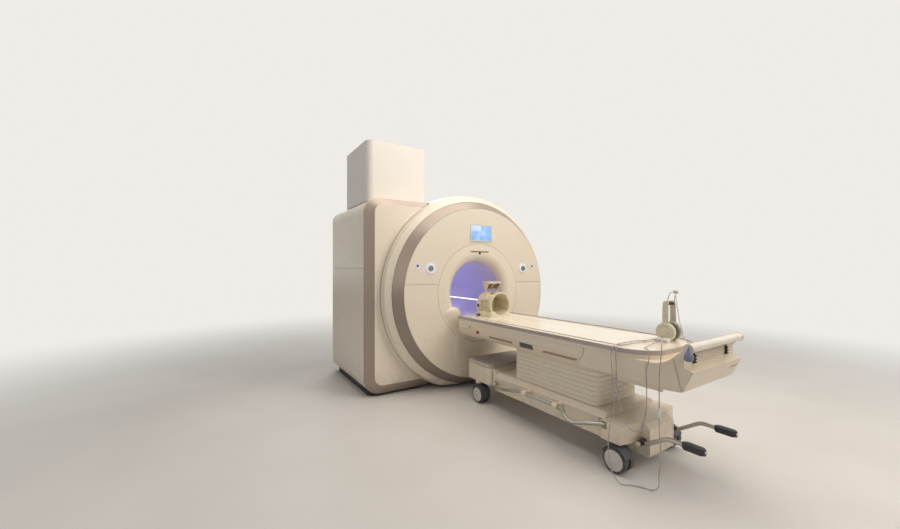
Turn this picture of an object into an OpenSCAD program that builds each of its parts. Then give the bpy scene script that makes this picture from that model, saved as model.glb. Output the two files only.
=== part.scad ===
// Whole-body MRI scanner: round gantry with a side box and a service tower,
// and a wheeled patient table that docks to it, lifts, and feeds a sliding top
// into the bore. Millimetres, +Z up, the bore along Y, the origin on the floor.

/* [Gantry] */
// Diameter of the patient bore
bore_diameter = 700; // [690:720]
// Height of the bore axis above the floor
axis_height = 1040; // [1036:1050]
// Length of the gantry from the front disc to the rear face
gantry_length = 1700; // [1640:1800]
// Radius of the round housing
housing_radius = 1120; // [1110:1140]
// Distance from the round housing to the side face of the box
box_margin = 130; // [110:180]
// Drop of the box top below the top of the round housing
box_drop = 122; // [100:170]
// Width of the satin trim up the side of the box
box_trim_width = 100; // [80:120]
// Width of the service tower
tower_width = 720; // [640:740]
// Height of the service tower above the box
tower_height = 662; // [560:800]
// Wall of the moulded covers
cover_wall = 6; // [5:8]
// Width of the seams between covers
seam = 2; // [1:4]

/* [Controls] */
// Width of the display
display_width = 300; // [240:330]
// Height of the display
display_height = 186; // [150:200]
// Diameter of the control knobs
knob_diameter = 56; // [44:58]
// Diameter of the round push buttons
button_diameter = 26; // [20:30]
// Travel of the push buttons
button_travel = 4; // [2:5]

/* [Table] */
// Length of the table top with its rail
table_length = 2080; // [2060:2160]
// Width of the table with its rail
table_width = 678; // [674:700]
// Height of the table top when it is raised to the bore
table_height = 808; // [806:812]
// Width of the sliding board
board_width = 500; // [480:504]
// Length of the sliding board
board_length = 1832; // [1700:1840]
// Height of the edge rail
rail_height = 28; // [22:32]
// Diameter of the push handle
handle_diameter = 48; // [40:54]

/* [Trolley] */
// Height of the bellows between base and table
bellows_height = 249; // [240:260]
// Number of folds in the bellows
bellows_folds = 10; // [8:12]
// Travel of the table lift
lift_travel = 190; // [160:190]
// Diameter of the caster wheels
wheel_diameter = 160; // [150:164]
// Width of one caster wheel
wheel_width = 40; // [34:42]
// Diameter of the foot bars
bar_diameter = 26; // [20:28]
// Diameter of the pedal arms
pedal_diameter = 26; // [20:28]

/* [Head coil and headset] */
// Width of the head coil
coil_width = 270; // [250:276]
// Length of the head coil
coil_length = 250; // [230:256]
// Diameter of the headset cups
cup_diameter = 132; // [110:140]
// Diameter of the air tubes
tube_diameter = 6; // [5:8]

/* [Hidden] */
$fn = 64;
fine = 180;
fit = 0.05;
front = -gantry_length / 2;
rear = gantry_length / 2;
bore = bore_diameter / 2;
flare = 100;
skin = 8;
disc_radius = housing_radius - 177;
band_radius = housing_radius - 94;
rim_radius = housing_radius - 43;
box_reach = housing_radius + box_margin;
box_top = axis_height + housing_radius - box_drop;
trim_radius = bore + 196;
dish = 18;
panel_back = front + 26;
ring_floor = 30;
liner_front = front + dish + flare;
liner_rear = rear - flare;
magnet_radius = housing_radius - 170;
magnet_front = front + 210;
magnet_rear = rear - 210;
coil_outer = bore + 93;
box_front = front + 244;
box_rear = rear - 150;
box_bottom = 60;
box_split = 1310;
box_radius = 170;
rear_seam = rear - 200;
panel_split = axis_height + 107;
tower_left = 113 - box_reach;
tower_front = front + 504;
tower_rear = front + 1300;
turret_x = -776;
display_x = 13;
display_z = axis_height + 668;
dial_x = 640;
dial_z = axis_height + 272;
button_x = 790;
button_z = axis_height + 298;
table_front = -900;
table_rear = table_front - table_length;
half_table = table_width / 2;
half_board = board_width / 2;
deck_top = table_height - 5;
deck_low = table_height - 51;
board_low = table_height - 30;
frame_low = table_height - 168;
skirt_low = table_height - 198;
bellows_low = table_height - 224 - bellows_height;
bellows_high = bellows_low + bellows_height;
column_top = frame_low - 2 - lift_travel;
post_low = 201 + lift_travel;
bellows_front = -1680;
bellows_rear = -2550;
corner = 200;
wheel = wheel_diameter / 2;
caster_top = 180;
caster_x = 300;
caster_front = -1225;
caster_rear = -2705;
trail = 35;
bar_x = 360;
bar_z = 285;
pedal_y = -2830;
pedal_z = 190;
rail_low = table_height + 2 - rail_height;
coil_front = -950;
coil_nose = table_front - 8;
coil_rear = coil_front - coil_length;
coil_floor = table_height - 5;
coil_axis = table_height + 122;
mirror_y = coil_front - 96;
mirror_z = table_height + 350;
pivot_z = coil_axis + 124;
cup = cup_diameter / 2;
headset_x = 200;
headset_y = table_rear + 108;
headset_z = deck_top + cup;
foot_seam = table_rear + 533;
stop_y = -1240;
stop_z = table_height - 126;
lever_y = -1910;
lever_z = table_height - 156;

function bulge(t) = [rim_radius + 43 * sin(t), front + 138 + 202 * (1 - cos(t))];

// Routes of the air tubes: over the deck edge, down to the floor and back up,
// a second loop that hangs free, and the tube of the squeeze bulb
tube_loop = [
  [92, -2775, 816], [82, -2775, 816], [40, -2752, 813], [-40, -2720, 813], [-120, -2705, 813],
  [-200, -2705, 813], [-275, -2718, 816], [-330, -2734, 819], [-354, -2738, 806],
  [-365, -2733, 771], [-375, -2744, 698], [-390, -2758, 614], [-410, -2785, 501],
  [-440, -2779, 359], [-460, -2778, 239], [-462, -2790, 120], [-450, -2815, 40],
  [-425, -2845, 5], [-385, -2885, 4], [-352, -2930, 4], [-332, -2980, 5],
  [-340, -3020, 40], [-360, -3035, 117], [-366, -3049, 255], [-370, -3044, 380],
  [-370, -3042, 446], [-370, -3042, 462]
];
tube_return = [
  [-370, -3042, 516], [-370, -3042, 530], [-371, -3043, 604], [-370, -3045, 734], [-364, -3050, 820],
  [-350, -3046, 868], [-325, -3032, 892], [-285, -3008, 900], [-220, -2975, 890],
  [-130, -2930, 860], [-40, -2888, 828], [30, -2855, 815],
  [82, -2835, 816], [92, -2835, 816]
];
tube_hanger = [
  [92, -2815, 816], [82, -2815, 816], [10, -2820, 813], [-90, -2840, 813], [-190, -2865, 815],
  [-280, -2905, 824], [-330, -2950, 832], [-352, -2974, 820], [-360, -2978, 790],
  [-365, -2966, 715], [-370, -2969, 616], [-385, -2967, 441], [-391, -2940, 362],
  [-392, -2905, 340], [-390, -2870, 350], [-386, -2835, 390], [-380, -2805, 460],
  [-372, -2778, 570], [-364, -2768, 690], [-354, -2764, 800], [-330, -2760, 821],
  [-260, -2752, 816], [-120, -2755, 813], [0, -2785, 813],
  [80, -2795, 816], [92, -2795, 816]
];
bulb_tube = [
  [186, -2856, 1148], [178, -2856, 1148], [164, -2868, 1142], [140, -2884, 1124], [60, -2933, 1050],
  [-40, -2995, 978], [-150, -3064, 928], [-230, -3114, 909], [-285, -3150, 906],
  [-320, -3176, 905.5], [-342, -3190, 906], [-356, -3195, 902], [-361, -3196, 896],
  [-362, -3196, 891], [-362, -3196, 888]
];
bulb_at = [-362, -3196, -20];

// Bent ends of the foot bar, and the arm of a pedal
bar_front = [
  [-360, -1894, 285], [-360, -1876, 284], [-360, -1850, 277], [-360, -1800, 265],
  [-361, -1680, 243], [-362, -1590, 228], [-360, -1565, 223], [-354, -1545, 216],
  [-335, -1490, 200]
];
bar_back = [
  [-360, -2312, 285], [-362, -2328, 284], [-370, -2345, 278], [-392, -2370, 266],
  [-400, -2386, 259], [-409, -2430, 243], [-409, -2450, 240], [-402, -2475, 243],
  [-372, -2545, 259], [-360, -2570, 263], [-312, -2652, 274]
];
pedal_arm = [
  [-196, -2840, 192], [-198, -2880, 203], [-204, -2960, 256], [-207, -2990, 276],
  [-208, -3012, 285], [-208, -3035, 288], [-208, -3130, 287]
];

module along_bore() {
  translate([0, 0, axis_height]) rotate([-90, 0, 0]) children();
}
module ring(inner, outer, y0, y1) {
  translate([0, y0, axis_height]) rotate([-90, 0, 0]) difference() {
    cylinder(r = outer, h = y1 - y0, $fn = fine);
    translate([0, 0, -1]) cylinder(r = inner, h = y1 - y0 + 2, $fn = fine);
  }
}
module disc(radius, y0, y1) {
  translate([0, y0, axis_height]) rotate([-90, 0, 0])
    cylinder(r = radius, h = y1 - y0, $fn = fine);
}
module turned() {
  along_bore() rotate_extrude($fn = fine) children();
}
module above(z) {
  intersection() {
    children();
    translate([-3000, -4000, z]) cube([6000, 8000, 4000]);
  }
}
module prism_y(y0, y1) {
  translate([0, y1, 0]) rotate([90, 0, 0]) linear_extrude(height = y1 - y0) children();
}
module prism_x(x0, x1) {
  translate([x0, 0, 0]) rotate([90, 0, 90]) linear_extrude(height = x1 - x0) children();
}
module block(low, high) {
  translate(low) cube(high - low);
}
module rounded(x0, y0, x1, y1, r) {
  translate([x0 + r, y0]) square([x1 - x0 - 2 * r, y1 - y0]);
  translate([x0, y0 + r]) square([x1 - x0, y1 - y0 - 2 * r]);
  for (cx = [x0 + r, x1 - r], cy = [y0 + r, y1 - r]) translate([cx, cy]) circle(r);
}
module rod(a, b, r) {
  d = b - a;
  length = norm(d);
  translate(a) rotate([0, acos(d[2] / length), atan2(d[1], d[0])]) cylinder(r = r, h = length);
}
module both_sides() {
  children();
  mirror([1, 0, 0]) children();
}

// Tube swept along its route: each ring stands square to the way from its
// neighbours, and its first side always points as far up as it can.
function unit(v) = v / norm(v);
function way(p, i) = unit(p[min(i + 1, len(p) - 1)] - p[max(i - 1, 0)]);
function side_of(w) = unit(cross(w, abs(w[2]) > 0.9 ? [0, 1, 0] : [0, 0, 1]));
function ring_points(c, w, r, n) = let (s = side_of(w), u = cross(s, w))
  [for (k = [0 : n - 1]) c + r * (cos(360 * k / n) * s + sin(360 * k / n) * u)];
module tube(route, r, n = 8) {
  m = len(route);
  points = [for (i = [0 : m - 1]) each ring_points(route[i], way(route, i), r, n)];
  sides = [for (i = [0 : m - 2], k = [0 : n - 1])
    [i * n + k, i * n + (k + 1) % n, (i + 1) * n + (k + 1) % n, (i + 1) * n + k]];
  polyhedron(points, concat([[for (k = [n - 1 : -1 : 0]) k]], sides,
    [[for (k = [0 : n - 1]) (m - 1) * n + k]]));
}

// Feet and floor slab under the magnet and under the box
module base_plinth() color("#5a5753") {
  block([-430, magnet_front + 40, 0], [430, magnet_rear, box_bottom]);
  block([-box_reach + 60, box_front + 46, 0], [-570, box_rear - 40, box_bottom]);
  block([-580, magnet_front + 100, 0], [-420, magnet_rear - 60, 26]);
}

// Superconducting magnet in its steel vacuum vessel, with feet and service turret
module cryostat() color("#a9adb0") difference() {
  union() {
    disc(magnet_radius, magnet_front, magnet_rear);
    for (x = [-400, 250], y = [-520, 400])
      block([x, y, box_bottom], [x + 150, y + 120, axis_height - magnet_radius + 110]);
    block([turret_x - 130, -190, 1500], [turret_x + 130, 190, box_top + 40]);
  }
  disc(coil_outer + 7, magnet_front - 1, magnet_rear + 1);
}

// Gradient coil inside the magnet bore, hung on its front flange
module gradient_coil() color("#b88f4a") {
  ring(bore + 25, coil_outer, magnet_front - 15, magnet_rear);
  ring(bore + 25, coil_outer + 37, magnet_front - 15, magnet_front);
}

// Body radio-frequency coil between the gradient coil and the bore liner
module body_coil() color("#c98b5a") {
  ring(bore + 12, bore + 20, magnet_front - 27, magnet_rear);
  ring(bore + 12, bore + 50, magnet_front - 27, magnet_front - 15);
}

// Cold head and vent pipe that rise from the turret into the tower
module cold_head() color("#9aa0a4") {
  translate([turret_x, 90, box_top + 40]) cylinder(r = 62, h = 250);
  translate([turret_x, 90, box_top + 290]) cylinder(r = 88, h = 120);
  translate([turret_x, -100, box_top + 40]) cylinder(r = 58, h = tower_height - 40);
}

// Ring that carries the front covers, on posts from the magnet
module cover_frame() color("#84888c") above(ring_floor + 4) {
  ring(magnet_radius - 35, rim_radius - 17, front + 140, front + 152);
  for (a = [30 : 60 : 330])
    along_bore() rotate([0, 0, a]) translate([magnet_radius - 18, 0, front + 146])
      cylinder(r = 16, h = magnet_front - front - 146);
}

// Liner tube of the bore with slots for the light strips
module bore_liner() color("#efeae4") difference() {
  union() {
    ring(bore, bore + skin, liner_front, liner_rear);
    ring(bore, bore + 35, magnet_front - 39, magnet_front - 27);
  }
  both_sides() block([bore - 12, liner_front + 28, axis_height - 52],
    [bore + 7, liner_rear - 40, axis_height - 38]);
}
module bore_lights() color("#dcd8ff") both_sides()
  block([bore - 6, liner_front + 28, axis_height - 52],
    [bore + 4, liner_rear - 40, axis_height - 38]);

// Flared mouth of the bore, set in the middle of the front panels
module bore_trim() color("#f0e8da") difference() {
  union() {
    turned() difference() {
      union() {
        translate([bore + flare, front + dish]) square([trim_radius - bore - flare, skin]);
        intersection() {
          translate([bore + flare, liner_front]) difference() {
            circle(flare);
            circle(flare - skin);
          }
          translate([bore - 1, front]) square([flare + 1, dish + flare]);
        }
      }
    }
    ring(trim_radius - 12, trim_radius + 28, panel_back, panel_back + 8);
  }
  laser_cut(0, 20);
}
module laser_cut(margin, depth) {
  block([-125 + margin, front + dish - 4, axis_height + 452],
    [125 - margin, front + dish + depth, axis_height + 464]);
  block([-16 + margin, front + dish - 4, axis_height + 430],
    [16 - margin, front + dish + depth, axis_height + 456]);
}

// Light-alignment window above the bore
module laser_window() color("#3a2f28") {
  block([-124, front + dish + 1, axis_height + 452.5], [124, front + dish + 8, axis_height + 463.5]);
  block([-15, front + dish + 4, axis_height + 431], [15, front + dish + 12, axis_height + 455]);
  block([-140, front + dish + 8, axis_height + 451], [140, front + dish + 14, axis_height + 476]);
}

// Dished front disc, split into an upper and a lower panel
module front_disc() turned() polygon([
  [trim_radius + seam, front + dish], [disc_radius - seam, front],
  [disc_radius - seam, panel_back], [trim_radius + seam, panel_back]
]);
module control_holes(extra) both_sides() {
  translate([dial_x, front - 20, dial_z]) rotate([-90, 0, 0])
    cylinder(r = 52 + extra, h = 60);
  translate([button_x, front - 20, button_z]) rotate([-90, 0, 0])
    cylinder(r = 22 + extra, h = 60);
}
module display_block(grow, y0, y1) {
  block([display_x - display_width / 2 - grow, y0, display_z - display_height / 2 - grow],
    [display_x + display_width / 2 + grow, y1, display_z + display_height / 2 + grow]);
}
module front_panel_upper() color("#f1e9dc") difference() {
  above(panel_split + seam / 2) front_disc();
  control_holes(0.3);
  display_block(0.5, front - 20, panel_back + 20);
}
module docking_outline(grow) {
  block([-337 - grow, front - 30, 60], [337 + grow, panel_back + 20, 587 + grow]);
}
module front_panel_lower() color("#f1e9dc") difference() {
  front_disc();
  block([-1200, front - 50, panel_split - seam / 2], [1200, front + 50, 2300]);
  docking_outline(seam);
}

// Docking panel under the bore, with the mouth that takes the trolley's tongue
module docking_panel() color("#efe6d8") difference() {
  union() {
    intersection() {
      docking_outline(0);
      block([-400, front - 8, 0], [400, panel_back, 700]);
      difference() {
        disc(disc_radius - seam, front - 40, panel_back + 10);
        disc(trim_radius + seam, front - 50, panel_back + 1);
      }
    }
    difference() {
      intersection() {
        block([-350, panel_back, 146], [350, panel_back + 8, 600]);
        disc(disc_radius - 41, panel_back - 1, panel_back + 20);
      }
      disc(trim_radius + 30, panel_back - 1, panel_back + 20);
    }
    block([-140, panel_back, 205], [140, panel_back + 26, 330]);
  }
  block([-125, front - 40, 220], [125, panel_back + 18, 315]);
}

// Satin conical band round the disc
module ring_band() color("#a59a90") above(ring_floor) turned() {
  polygon([
    [disc_radius, front], [band_radius, front + 104], [band_radius, front + 140],
    [band_radius - 66, front + 140], [band_radius - 66, front + 134],
    [band_radius - 8, front + 134], [band_radius - 8, front + 108],
    [disc_radius + 12, front + 32], [disc_radius - 40, front + 32],
    [disc_radius - 40, front + 26], [disc_radius, front + 26]
  ]);
}

// Round housing behind the band, open where it runs into the box
module round_cover() color("#f1e9dc") difference() {
  above(ring_floor) turned() {
    polygon(concat(
      [[band_radius + seam, front + 104], [rim_radius, front + 138]],
      [for (t = [10 : 10 : 90]) bulge(t)],
      [[housing_radius, rear_seam], [housing_radius - cover_wall, rear_seam]],
      [for (t = [90 : -10 : 30]) bulge(t) - [cover_wall, 0]],
      [[bulge(28)[0] - cover_wall, front + 160], [rim_radius - 42, front + 160],
       [rim_radius - 42, front + 152], [bulge(20)[0] - cover_wall, front + 152],
       [rim_radius - cover_wall, front + 142], [band_radius + seam, front + 112]]
    ));
  }
  block([-2000, box_front, box_bottom - seam], [0, rear_seam + 10, box_top + seam]);
}

// Rear cover with its own flared bore mouth
module rear_cover() color("#f1e9dc") above(ring_floor) turned() difference() {
  union() {
    translate([bore + flare, rear - 130]) square([housing_radius - bore - flare - 120, 130]);
    intersection() {
      translate([bore + flare, rear - flare]) circle(flare);
      translate([bore - 1, rear - flare]) square([flare + 2, flare]);
    }
    intersection() {
      translate([housing_radius - 120, rear - 120]) circle(120);
      translate([housing_radius - 121, rear - 120]) square([122, 121]);
    }
    translate([housing_radius - 130, rear_seam + seam])
      square([130, 80 - seam]);
  }
  translate([bore + flare, rear - 131]) square([housing_radius - bore - flare - 120, 131 - skin]);
  translate([bore + flare, rear - flare]) circle(flare - skin);
  translate([housing_radius - 120, rear - 120]) circle(120 - skin);
  translate([housing_radius - 131, rear_seam - 1])
    square([131 - skin, 201 - 120]);
}

// Side box that carries the cooling and power lines
module box_outline(inset) {
  rounded(-box_reach + inset, box_bottom + inset, 400, box_top - inset, box_radius - inset);
}
module box_solid(inset, y0) {
  intersection() {
    prism_y(y0, box_rear - inset) box_outline(inset);
    linear_extrude(height = 2600) rounded(-box_reach + inset, box_front - 400,
      600, box_rear - inset, 90 - inset);
  }
}
module box_shell() difference() {
  box_solid(0, box_front + 47);
  box_solid(cover_wall, box_front - 100);
  disc(housing_radius + seam, front - 100, rear + 100);
}
module box_cover_upper() color("#f1e9dc") difference() {
  union() {
    above(box_split + seam / 2) box_shell();
    block([-box_reach + cover_wall, box_front + 100, box_split - 20],
      [-box_reach + 2 * cover_wall, box_rear - 120, box_split + 20]);
  }
  block([tower_left + 30, tower_front + 30, box_top - 50],
    [-560, tower_rear - 30, box_top + 50]);
}
module box_cover_lower() color("#f1e9dc") intersection() {
  box_shell();
  block([-1400, -1000, 0], [0, 1000, box_split - seam / 2]);
}

// Satin frame round the front of the box, with its cut end beside the ring
module trim_outline() {
  rounded(-box_reach + box_trim_width, box_bottom + 55, 400, box_top - 65, 95);
}
module box_trim() color("#a59a90") difference() {
  union() {
    hull() {
      prism_y(box_front + 44, box_front + 45) box_outline(0);
      prism_y(box_front, box_front + 1) trim_outline();
    }
    prism_y(box_front + 42.5, box_front + 75) box_outline(cover_wall);
  }
  prism_y(box_front + 41, box_front + 76) box_outline(cover_wall + 9);
  prism_y(box_front - 1, box_front + 8) trim_outline();
  translate([0, 8, 0]) hull() {
    prism_y(box_front + 37, box_front + 38) box_outline(10);
    prism_y(box_front, box_front + 1) trim_inner();
  }
  disc(bulge_radius + seam, front - 100, rear);
  translate([-553, box_front - 50, box_top + 4]) rotate([0, 45, 0])
    cube([900, 200, 400]);
}
module trim_inner() {
  rounded(-box_reach + box_trim_width + 14, box_bottom + 69, 400, box_top - 79, 85);
}
bulge_radius = bulge(60)[0];
module box_panel() color("#f1e9dc") difference() {
  prism_y(box_front, box_front + cover_wall + 2) rounded(
    -box_reach + box_trim_width, box_bottom + 55, 400, box_top - 65, 95);
  disc(bulge_radius + seam, front - 100, rear);
}

// Tower that carries the cold head and the vent up to the ceiling
module service_tower() color("#f4f1ec") difference() {
  translate([0, 0, box_top]) linear_extrude(height = tower_height)
    rounded(tower_left, tower_front, tower_left + tower_width, tower_rear, 70);
  translate([0, 0, box_top - 50]) linear_extrude(height = tower_height + 50 - skin)
    rounded(tower_left + skin, tower_front + skin, tower_left + tower_width - skin,
      tower_rear - skin, 62);
  disc(housing_radius + seam, front, rear);
  translate([turret_x, -100, box_top]) cylinder(r = 58 + fit, h = tower_height + 10);
}

module display() color("#9fc4f0") difference() {
  union() {
    display_block(0, front + 6, panel_back);
    block([display_x - display_width / 2 - 12, panel_back, display_z - display_height / 2 + 17],
      [display_x + display_width / 2 + 12, panel_back + 8, display_z + display_height / 2 + 12]);
  }
  display_block(-8, front, front + 10);
}

// Rings round the knobs and buttons, each with the bore its stem turns or slides in
module control_rings() color("#e9ebf0") both_sides() {
  translate([dial_x, panel_back + 8, dial_z]) rotate([90, 0, 0]) difference() {
    union() {
      cylinder(r = 60, h = 8);
      cylinder(r = 52, h = 34);
      for (a = [0 : 60 : 300]) rotate([0, 0, a]) translate([43, 0, 30]) cylinder(r = 7, h = 8);
    }
    translate([0, 0, 12]) cylinder(d = knob_diameter + 3, h = 40);
    translate([0, 0, -1]) cylinder(r = 7 + fit, h = 40);
  }
  translate([button_x, panel_back + 8, button_z]) rotate([90, 0, 0]) difference() {
    union() {
      cylinder(r = 32, h = 8);
      cylinder(r = 22, h = 31);
    }
    translate([0, 0, 12]) cylinder(d = button_diameter + 1, h = 40);
    translate([0, 0, -1]) cylinder(r = 5 + fit, h = 40);
  }
}
module dial(x) color("#8d8f96") translate([x, panel_back - 5, dial_z]) rotate([90, 0, 0]) {
  difference() {
    union() {
      cylinder(d = knob_diameter, h = 30);
      translate([0, 0, -13]) cylinder(r = 7, h = 14);
    }
    for (a = [0 : 30 : 330]) rotate([0, 0, a]) translate([knob_diameter / 2 + 1, 0, 12])
      cylinder(r = 2.5, h = 20);
    translate([0, 0, 27]) cylinder(d = knob_diameter - 16, h = 5);
  }
}
module dial_left() dial(-dial_x);
module dial_right() dial(dial_x);
module button(x) color("#4b5560") translate([x, panel_back - 5, button_z]) rotate([90, 0, 0]) {
  translate([0, 0, button_travel]) cylinder(d = button_diameter, h = 20);
  translate([0, 0, -13]) cylinder(r = 5, h = 18 + button_travel);
}
module button_left() button(-button_x);
module button_right() button(button_x);

// Flat guide on the floor of the bore, with two tracks for the board
module bore_guide() color("#e3ddd6") {
  intersection() {
    disc(bore + 0.5, liner_front + 20, liner_rear);
    block([-400, -2000, 500], [400, 2000, table_height - 36]);
  }
  for (x = [-165, 145])
    block([x, liner_front + 20, table_height - 37], [x + 20, liner_rear, table_height - 31]);
}

// Rounded shoulders on both sides of the bore mouth
module entry_shoulders() color("#f0e8da") both_sides() difference() {
  hull() {
    translate([352, front + 28, table_height + 62]) sphere(r = 40, $fn = 32);
    translate([316, front + 24, table_height - 4]) sphere(r = 44, $fn = 32);
    translate([408, front + 24, table_height + 12]) sphere(r = 44, $fn = 32);
    translate([330, front + 30, table_height - 80]) sphere(r = 40, $fn = 32);
    translate([420, front + 30, table_height - 60]) sphere(r = 40, $fn = 32);
  }
  block([0, front - 100, 400], [262, front + 300, 1000]);
  block([250, front + dish, 400], [600, front + 300, 1000]);
}

// Trolley base: long hollow body, rear block, nose, the supports that the foot
// bars turn in, and the outer column of the telescopic lift
module bar_support() {
  block([-bar_x, 0, bar_z - 24], [-299, 44, bar_z + 14]);
  translate([-bar_x, 0, bar_z]) rotate([-90, 0, 0]) cylinder(d = bar_diameter + 22, h = 44);
}
module chassis() color("#f0e8da") {
  difference() {
    union() {
      both_sides() for (y = [-1960, -2290]) translate([0, y, 0]) bar_support();
      prism_y(-2640, -1470) polygon([
        [-300, 172], [-300, 300], [-262, bellows_low], [262, bellows_low],
        [300, 300], [300, 172]
      ]);
      block([-286, -1480, 203], [286, -1056, 348]);
      translate([0, 0, caster_top]) linear_extrude(height = 122) polygon([
        [-330, -2630], [-330, -2768], [-150, -2810], [150, -2810],
        [330, -2768], [330, -2630]
      ]);
      both_sides() {
        translate([caster_x, caster_front, caster_top]) cylinder(r = 34, h = 22);
        translate([caster_x, caster_front, 190]) cylinder(r = 15, h = 60);
      }
      block([-110, -1060, 235], [110, panel_back + 18, 300]);
    }
    prism_y(-2600, -1500) polygon([
      [-288, 160], [-288, 296], [-256, bellows_low - 12], [256, bellows_low - 12],
      [288, 296], [288, 160]
    ]);
    block([-190, -2300, 200], [190, -1900, 400]);
    both_sides() translate([-bar_x, -2400, bar_z]) rotate([-90, 0, 0])
      cylinder(d = bar_diameter + 2 * fit, h = 700);
    block([-266, -1460, 190], [266, -1070, 336]);
    block([-260, -2780, 120], [260, -2640, 240]);
    for (x = [-caster_x, caster_x], y = [caster_front, caster_rear])
      translate([x, y, 150]) cylinder(r = 12 + fit, h = 90);
    both_sides() block([282, -2676, 248], [340, -2600, 297]);
  }
  block([-289, -2320, 180], [289, -1880, 192]);
  difference() {
    block([-130, -2240, 191], [130, -1960, column_top]);
    block([-112, -2222, 200], [112, -1978, column_top + 1]);
  }
}

// Shroud of the front casters with its grey lid, and the nose at the rear end
// with the pins of the pedals
module base_covers() color("#f0e8da") {
  front_pod();
  rear_nose();
}
module rear_nose() {
  difference() {
    prism_x(-148, 148) polygon([
      [-2810, 302], [-2830, 298], [-2865, 272], [-2865, 96], [-2840, 85],
      [-2700, 110], [-2640, 148], [-2640, 180], [-2810, 180]
    ]);
    block([-130, -2800, 130], [130, -2660, 172]);
  }
  both_sides() {
    translate([140, pedal_y, pedal_z]) rotate([0, 90, 0]) cylinder(r = 9, h = 88);
    translate([222, pedal_y, pedal_z]) rotate([0, 90, 0]) cylinder(r = 15, h = 8);
  }
}
module front_pod() difference() {
  translate([0, 0, 203]) linear_extrude(height = 157)
    rounded(-325, -1428, 325, -1042, 60);
  translate([0, 0, 190]) linear_extrude(height = 158)
    rounded(-317, -1420, 317, -1050, 52);
  block([-291, -1600, 190], [291, -1400, 348]);
  block([-111, -1060, 190], [111, -1000, 301]);
}
module pod_lid() color("#a9a39b") {
  translate([0, 0, 360]) linear_extrude(height = 6) rounded(-312, -1415, 312, -1055, 48);
  translate([0, 0, 366]) linear_extrude(height = 18) rounded(-325, -1428, 325, -1042, 60);
  translate([0, 0, 384]) linear_extrude(height = 6) rounded(-319, -1422, 319, -1048, 54);
}

// Foot bar along the side of the base: a straight bearing length and two bent ends
module bar_left() color("#a8a9ab") {
  rod([-bar_x, -2316, bar_z], [-bar_x, -1890, bar_z], bar_diameter / 2);
  tube(bar_front, bar_diameter / 2 - 0.3, 16);
  tube(bar_back, bar_diameter / 2 - 0.3, 16);
}
module bar_right() mirror([1, 0, 0]) bar_left();

// Foot pedals at the rear on pins beside the nose
module pedal_left() {
  color("#a8a9ab") difference() {
    union() {
      translate([-220, pedal_y, pedal_z]) rotate([0, 90, 0]) cylinder(r = 18, h = 68);
      tube(pedal_arm, pedal_diameter / 2, 16);
    }
    translate([-240, pedal_y, pedal_z]) rotate([0, 90, 0]) cylinder(r = 9 + fit, h = 100);
  }
  color("#4a4a4c") translate([-208, -3208, 270]) linear_extrude(height = 34)
    rounded(-26, 0, 26, 112, 22);
}
module pedal_right() mirror([1, 0, 0]) pedal_left();

// Swivel caster: stem, crown, fork and guard over the twin wheels
module caster(x, y) color("#c9cbcd") translate([x, y, 0]) difference() {
  union() {
    translate([0, 0, caster_top - 14]) cylinder(r = 34, h = 14 - 0.3);
    translate([0, 0, caster_top - 4]) cylinder(r = 12, h = 44);
    prism_x(-9, 9) polygon([
      [30, caster_top - 4], [34, 130], [-trail + 26, wheel - 18], [-trail - 22, wheel - 18],
      [-trail - 26, wheel + 30], [-trail - 20, caster_top - 4]
    ]);
    translate([-48, -trail, wheel]) rotate([0, 90, 0]) difference() {
      cylinder(r = wheel + 9, h = 96);
      translate([0, 0, -1]) cylinder(r = wheel + 4, h = 98);
      translate([-30, -300, -1]) cube([600, 600, 100]);
    }
  }
  translate([-60, -trail, wheel]) rotate([0, 90, 0]) cylinder(r = 8 + fit, h = 120);
}
module caster_front_left() caster(-caster_x, caster_front);
module caster_front_right() caster(caster_x, caster_front);
module caster_rear_left() caster(-caster_x, caster_rear);
module caster_rear_right() caster(caster_x, caster_rear);
module wheels(x, y) color("#4c4e52") translate([x, y - trail, wheel]) rotate([0, 90, 0]) {
  translate([0, 0, -12 - wheel_width]) cylinder(r = 8, h = 24 + 2 * wheel_width);
  for (z = [-12 - wheel_width, 12]) translate([0, 0, z]) rotate_extrude() {
    translate([0, 3]) square([wheel, wheel_width - 6]);
    square([wheel - 5, wheel_width]);
  }
}
module wheels_front_left() wheels(-caster_x, caster_front);
module wheels_front_right() wheels(caster_x, caster_front);
module wheels_rear_left() wheels(-caster_x, caster_rear);
module wheels_rear_right() wheels(caster_x, caster_rear);

// Folding skin round the telescopic lift
module bellows_outline(inset) {
  rounded(-252 + inset, bellows_rear + inset, 252 - inset, bellows_front - inset, 60 - inset);
}
module bellows() color("#ece4d6") difference() {
  pitch = bellows_height / bellows_folds;
  union() for (i = [0 : bellows_folds - 1]) translate([0, 0, bellows_low + i * pitch]) {
    linear_extrude(height = pitch) bellows_outline(5);
    translate([0, 0, pitch * 0.18]) linear_extrude(height = pitch * 0.64) bellows_outline(0);
  }
  translate([0, 0, bellows_low - 1]) linear_extrude(height = bellows_height + 2)
    bellows_outline(12);
}

// Lifting frame of the table, with the inner post of the lift
module table_frame() color("#8f9397") {
  difference() {
    union() {
      block([-215, table_rear + 60, frame_low], [215, table_front - 30, deck_low]);
      block([-215, bellows_rear, skirt_low - 1], [215, bellows_front, frame_low + 1]);
      linear_extrude_between(bellows_high, skirt_low) bellows_outline(0);
    }
    block([-203, table_rear + 72, frame_low + 12], [203, table_front - 42, deck_low + 5]);
    block([-133, -2243, bellows_high - 1], [133, -1957, frame_low - 1]);
  }
  block([-111.7, -2221.7, post_low], [111.7, -1978.3, frame_low + 6]);
}
module linear_extrude_between(z0, z1) {
  translate([0, 0, z0]) linear_extrude(height = z1 - z0) children();
}

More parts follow.
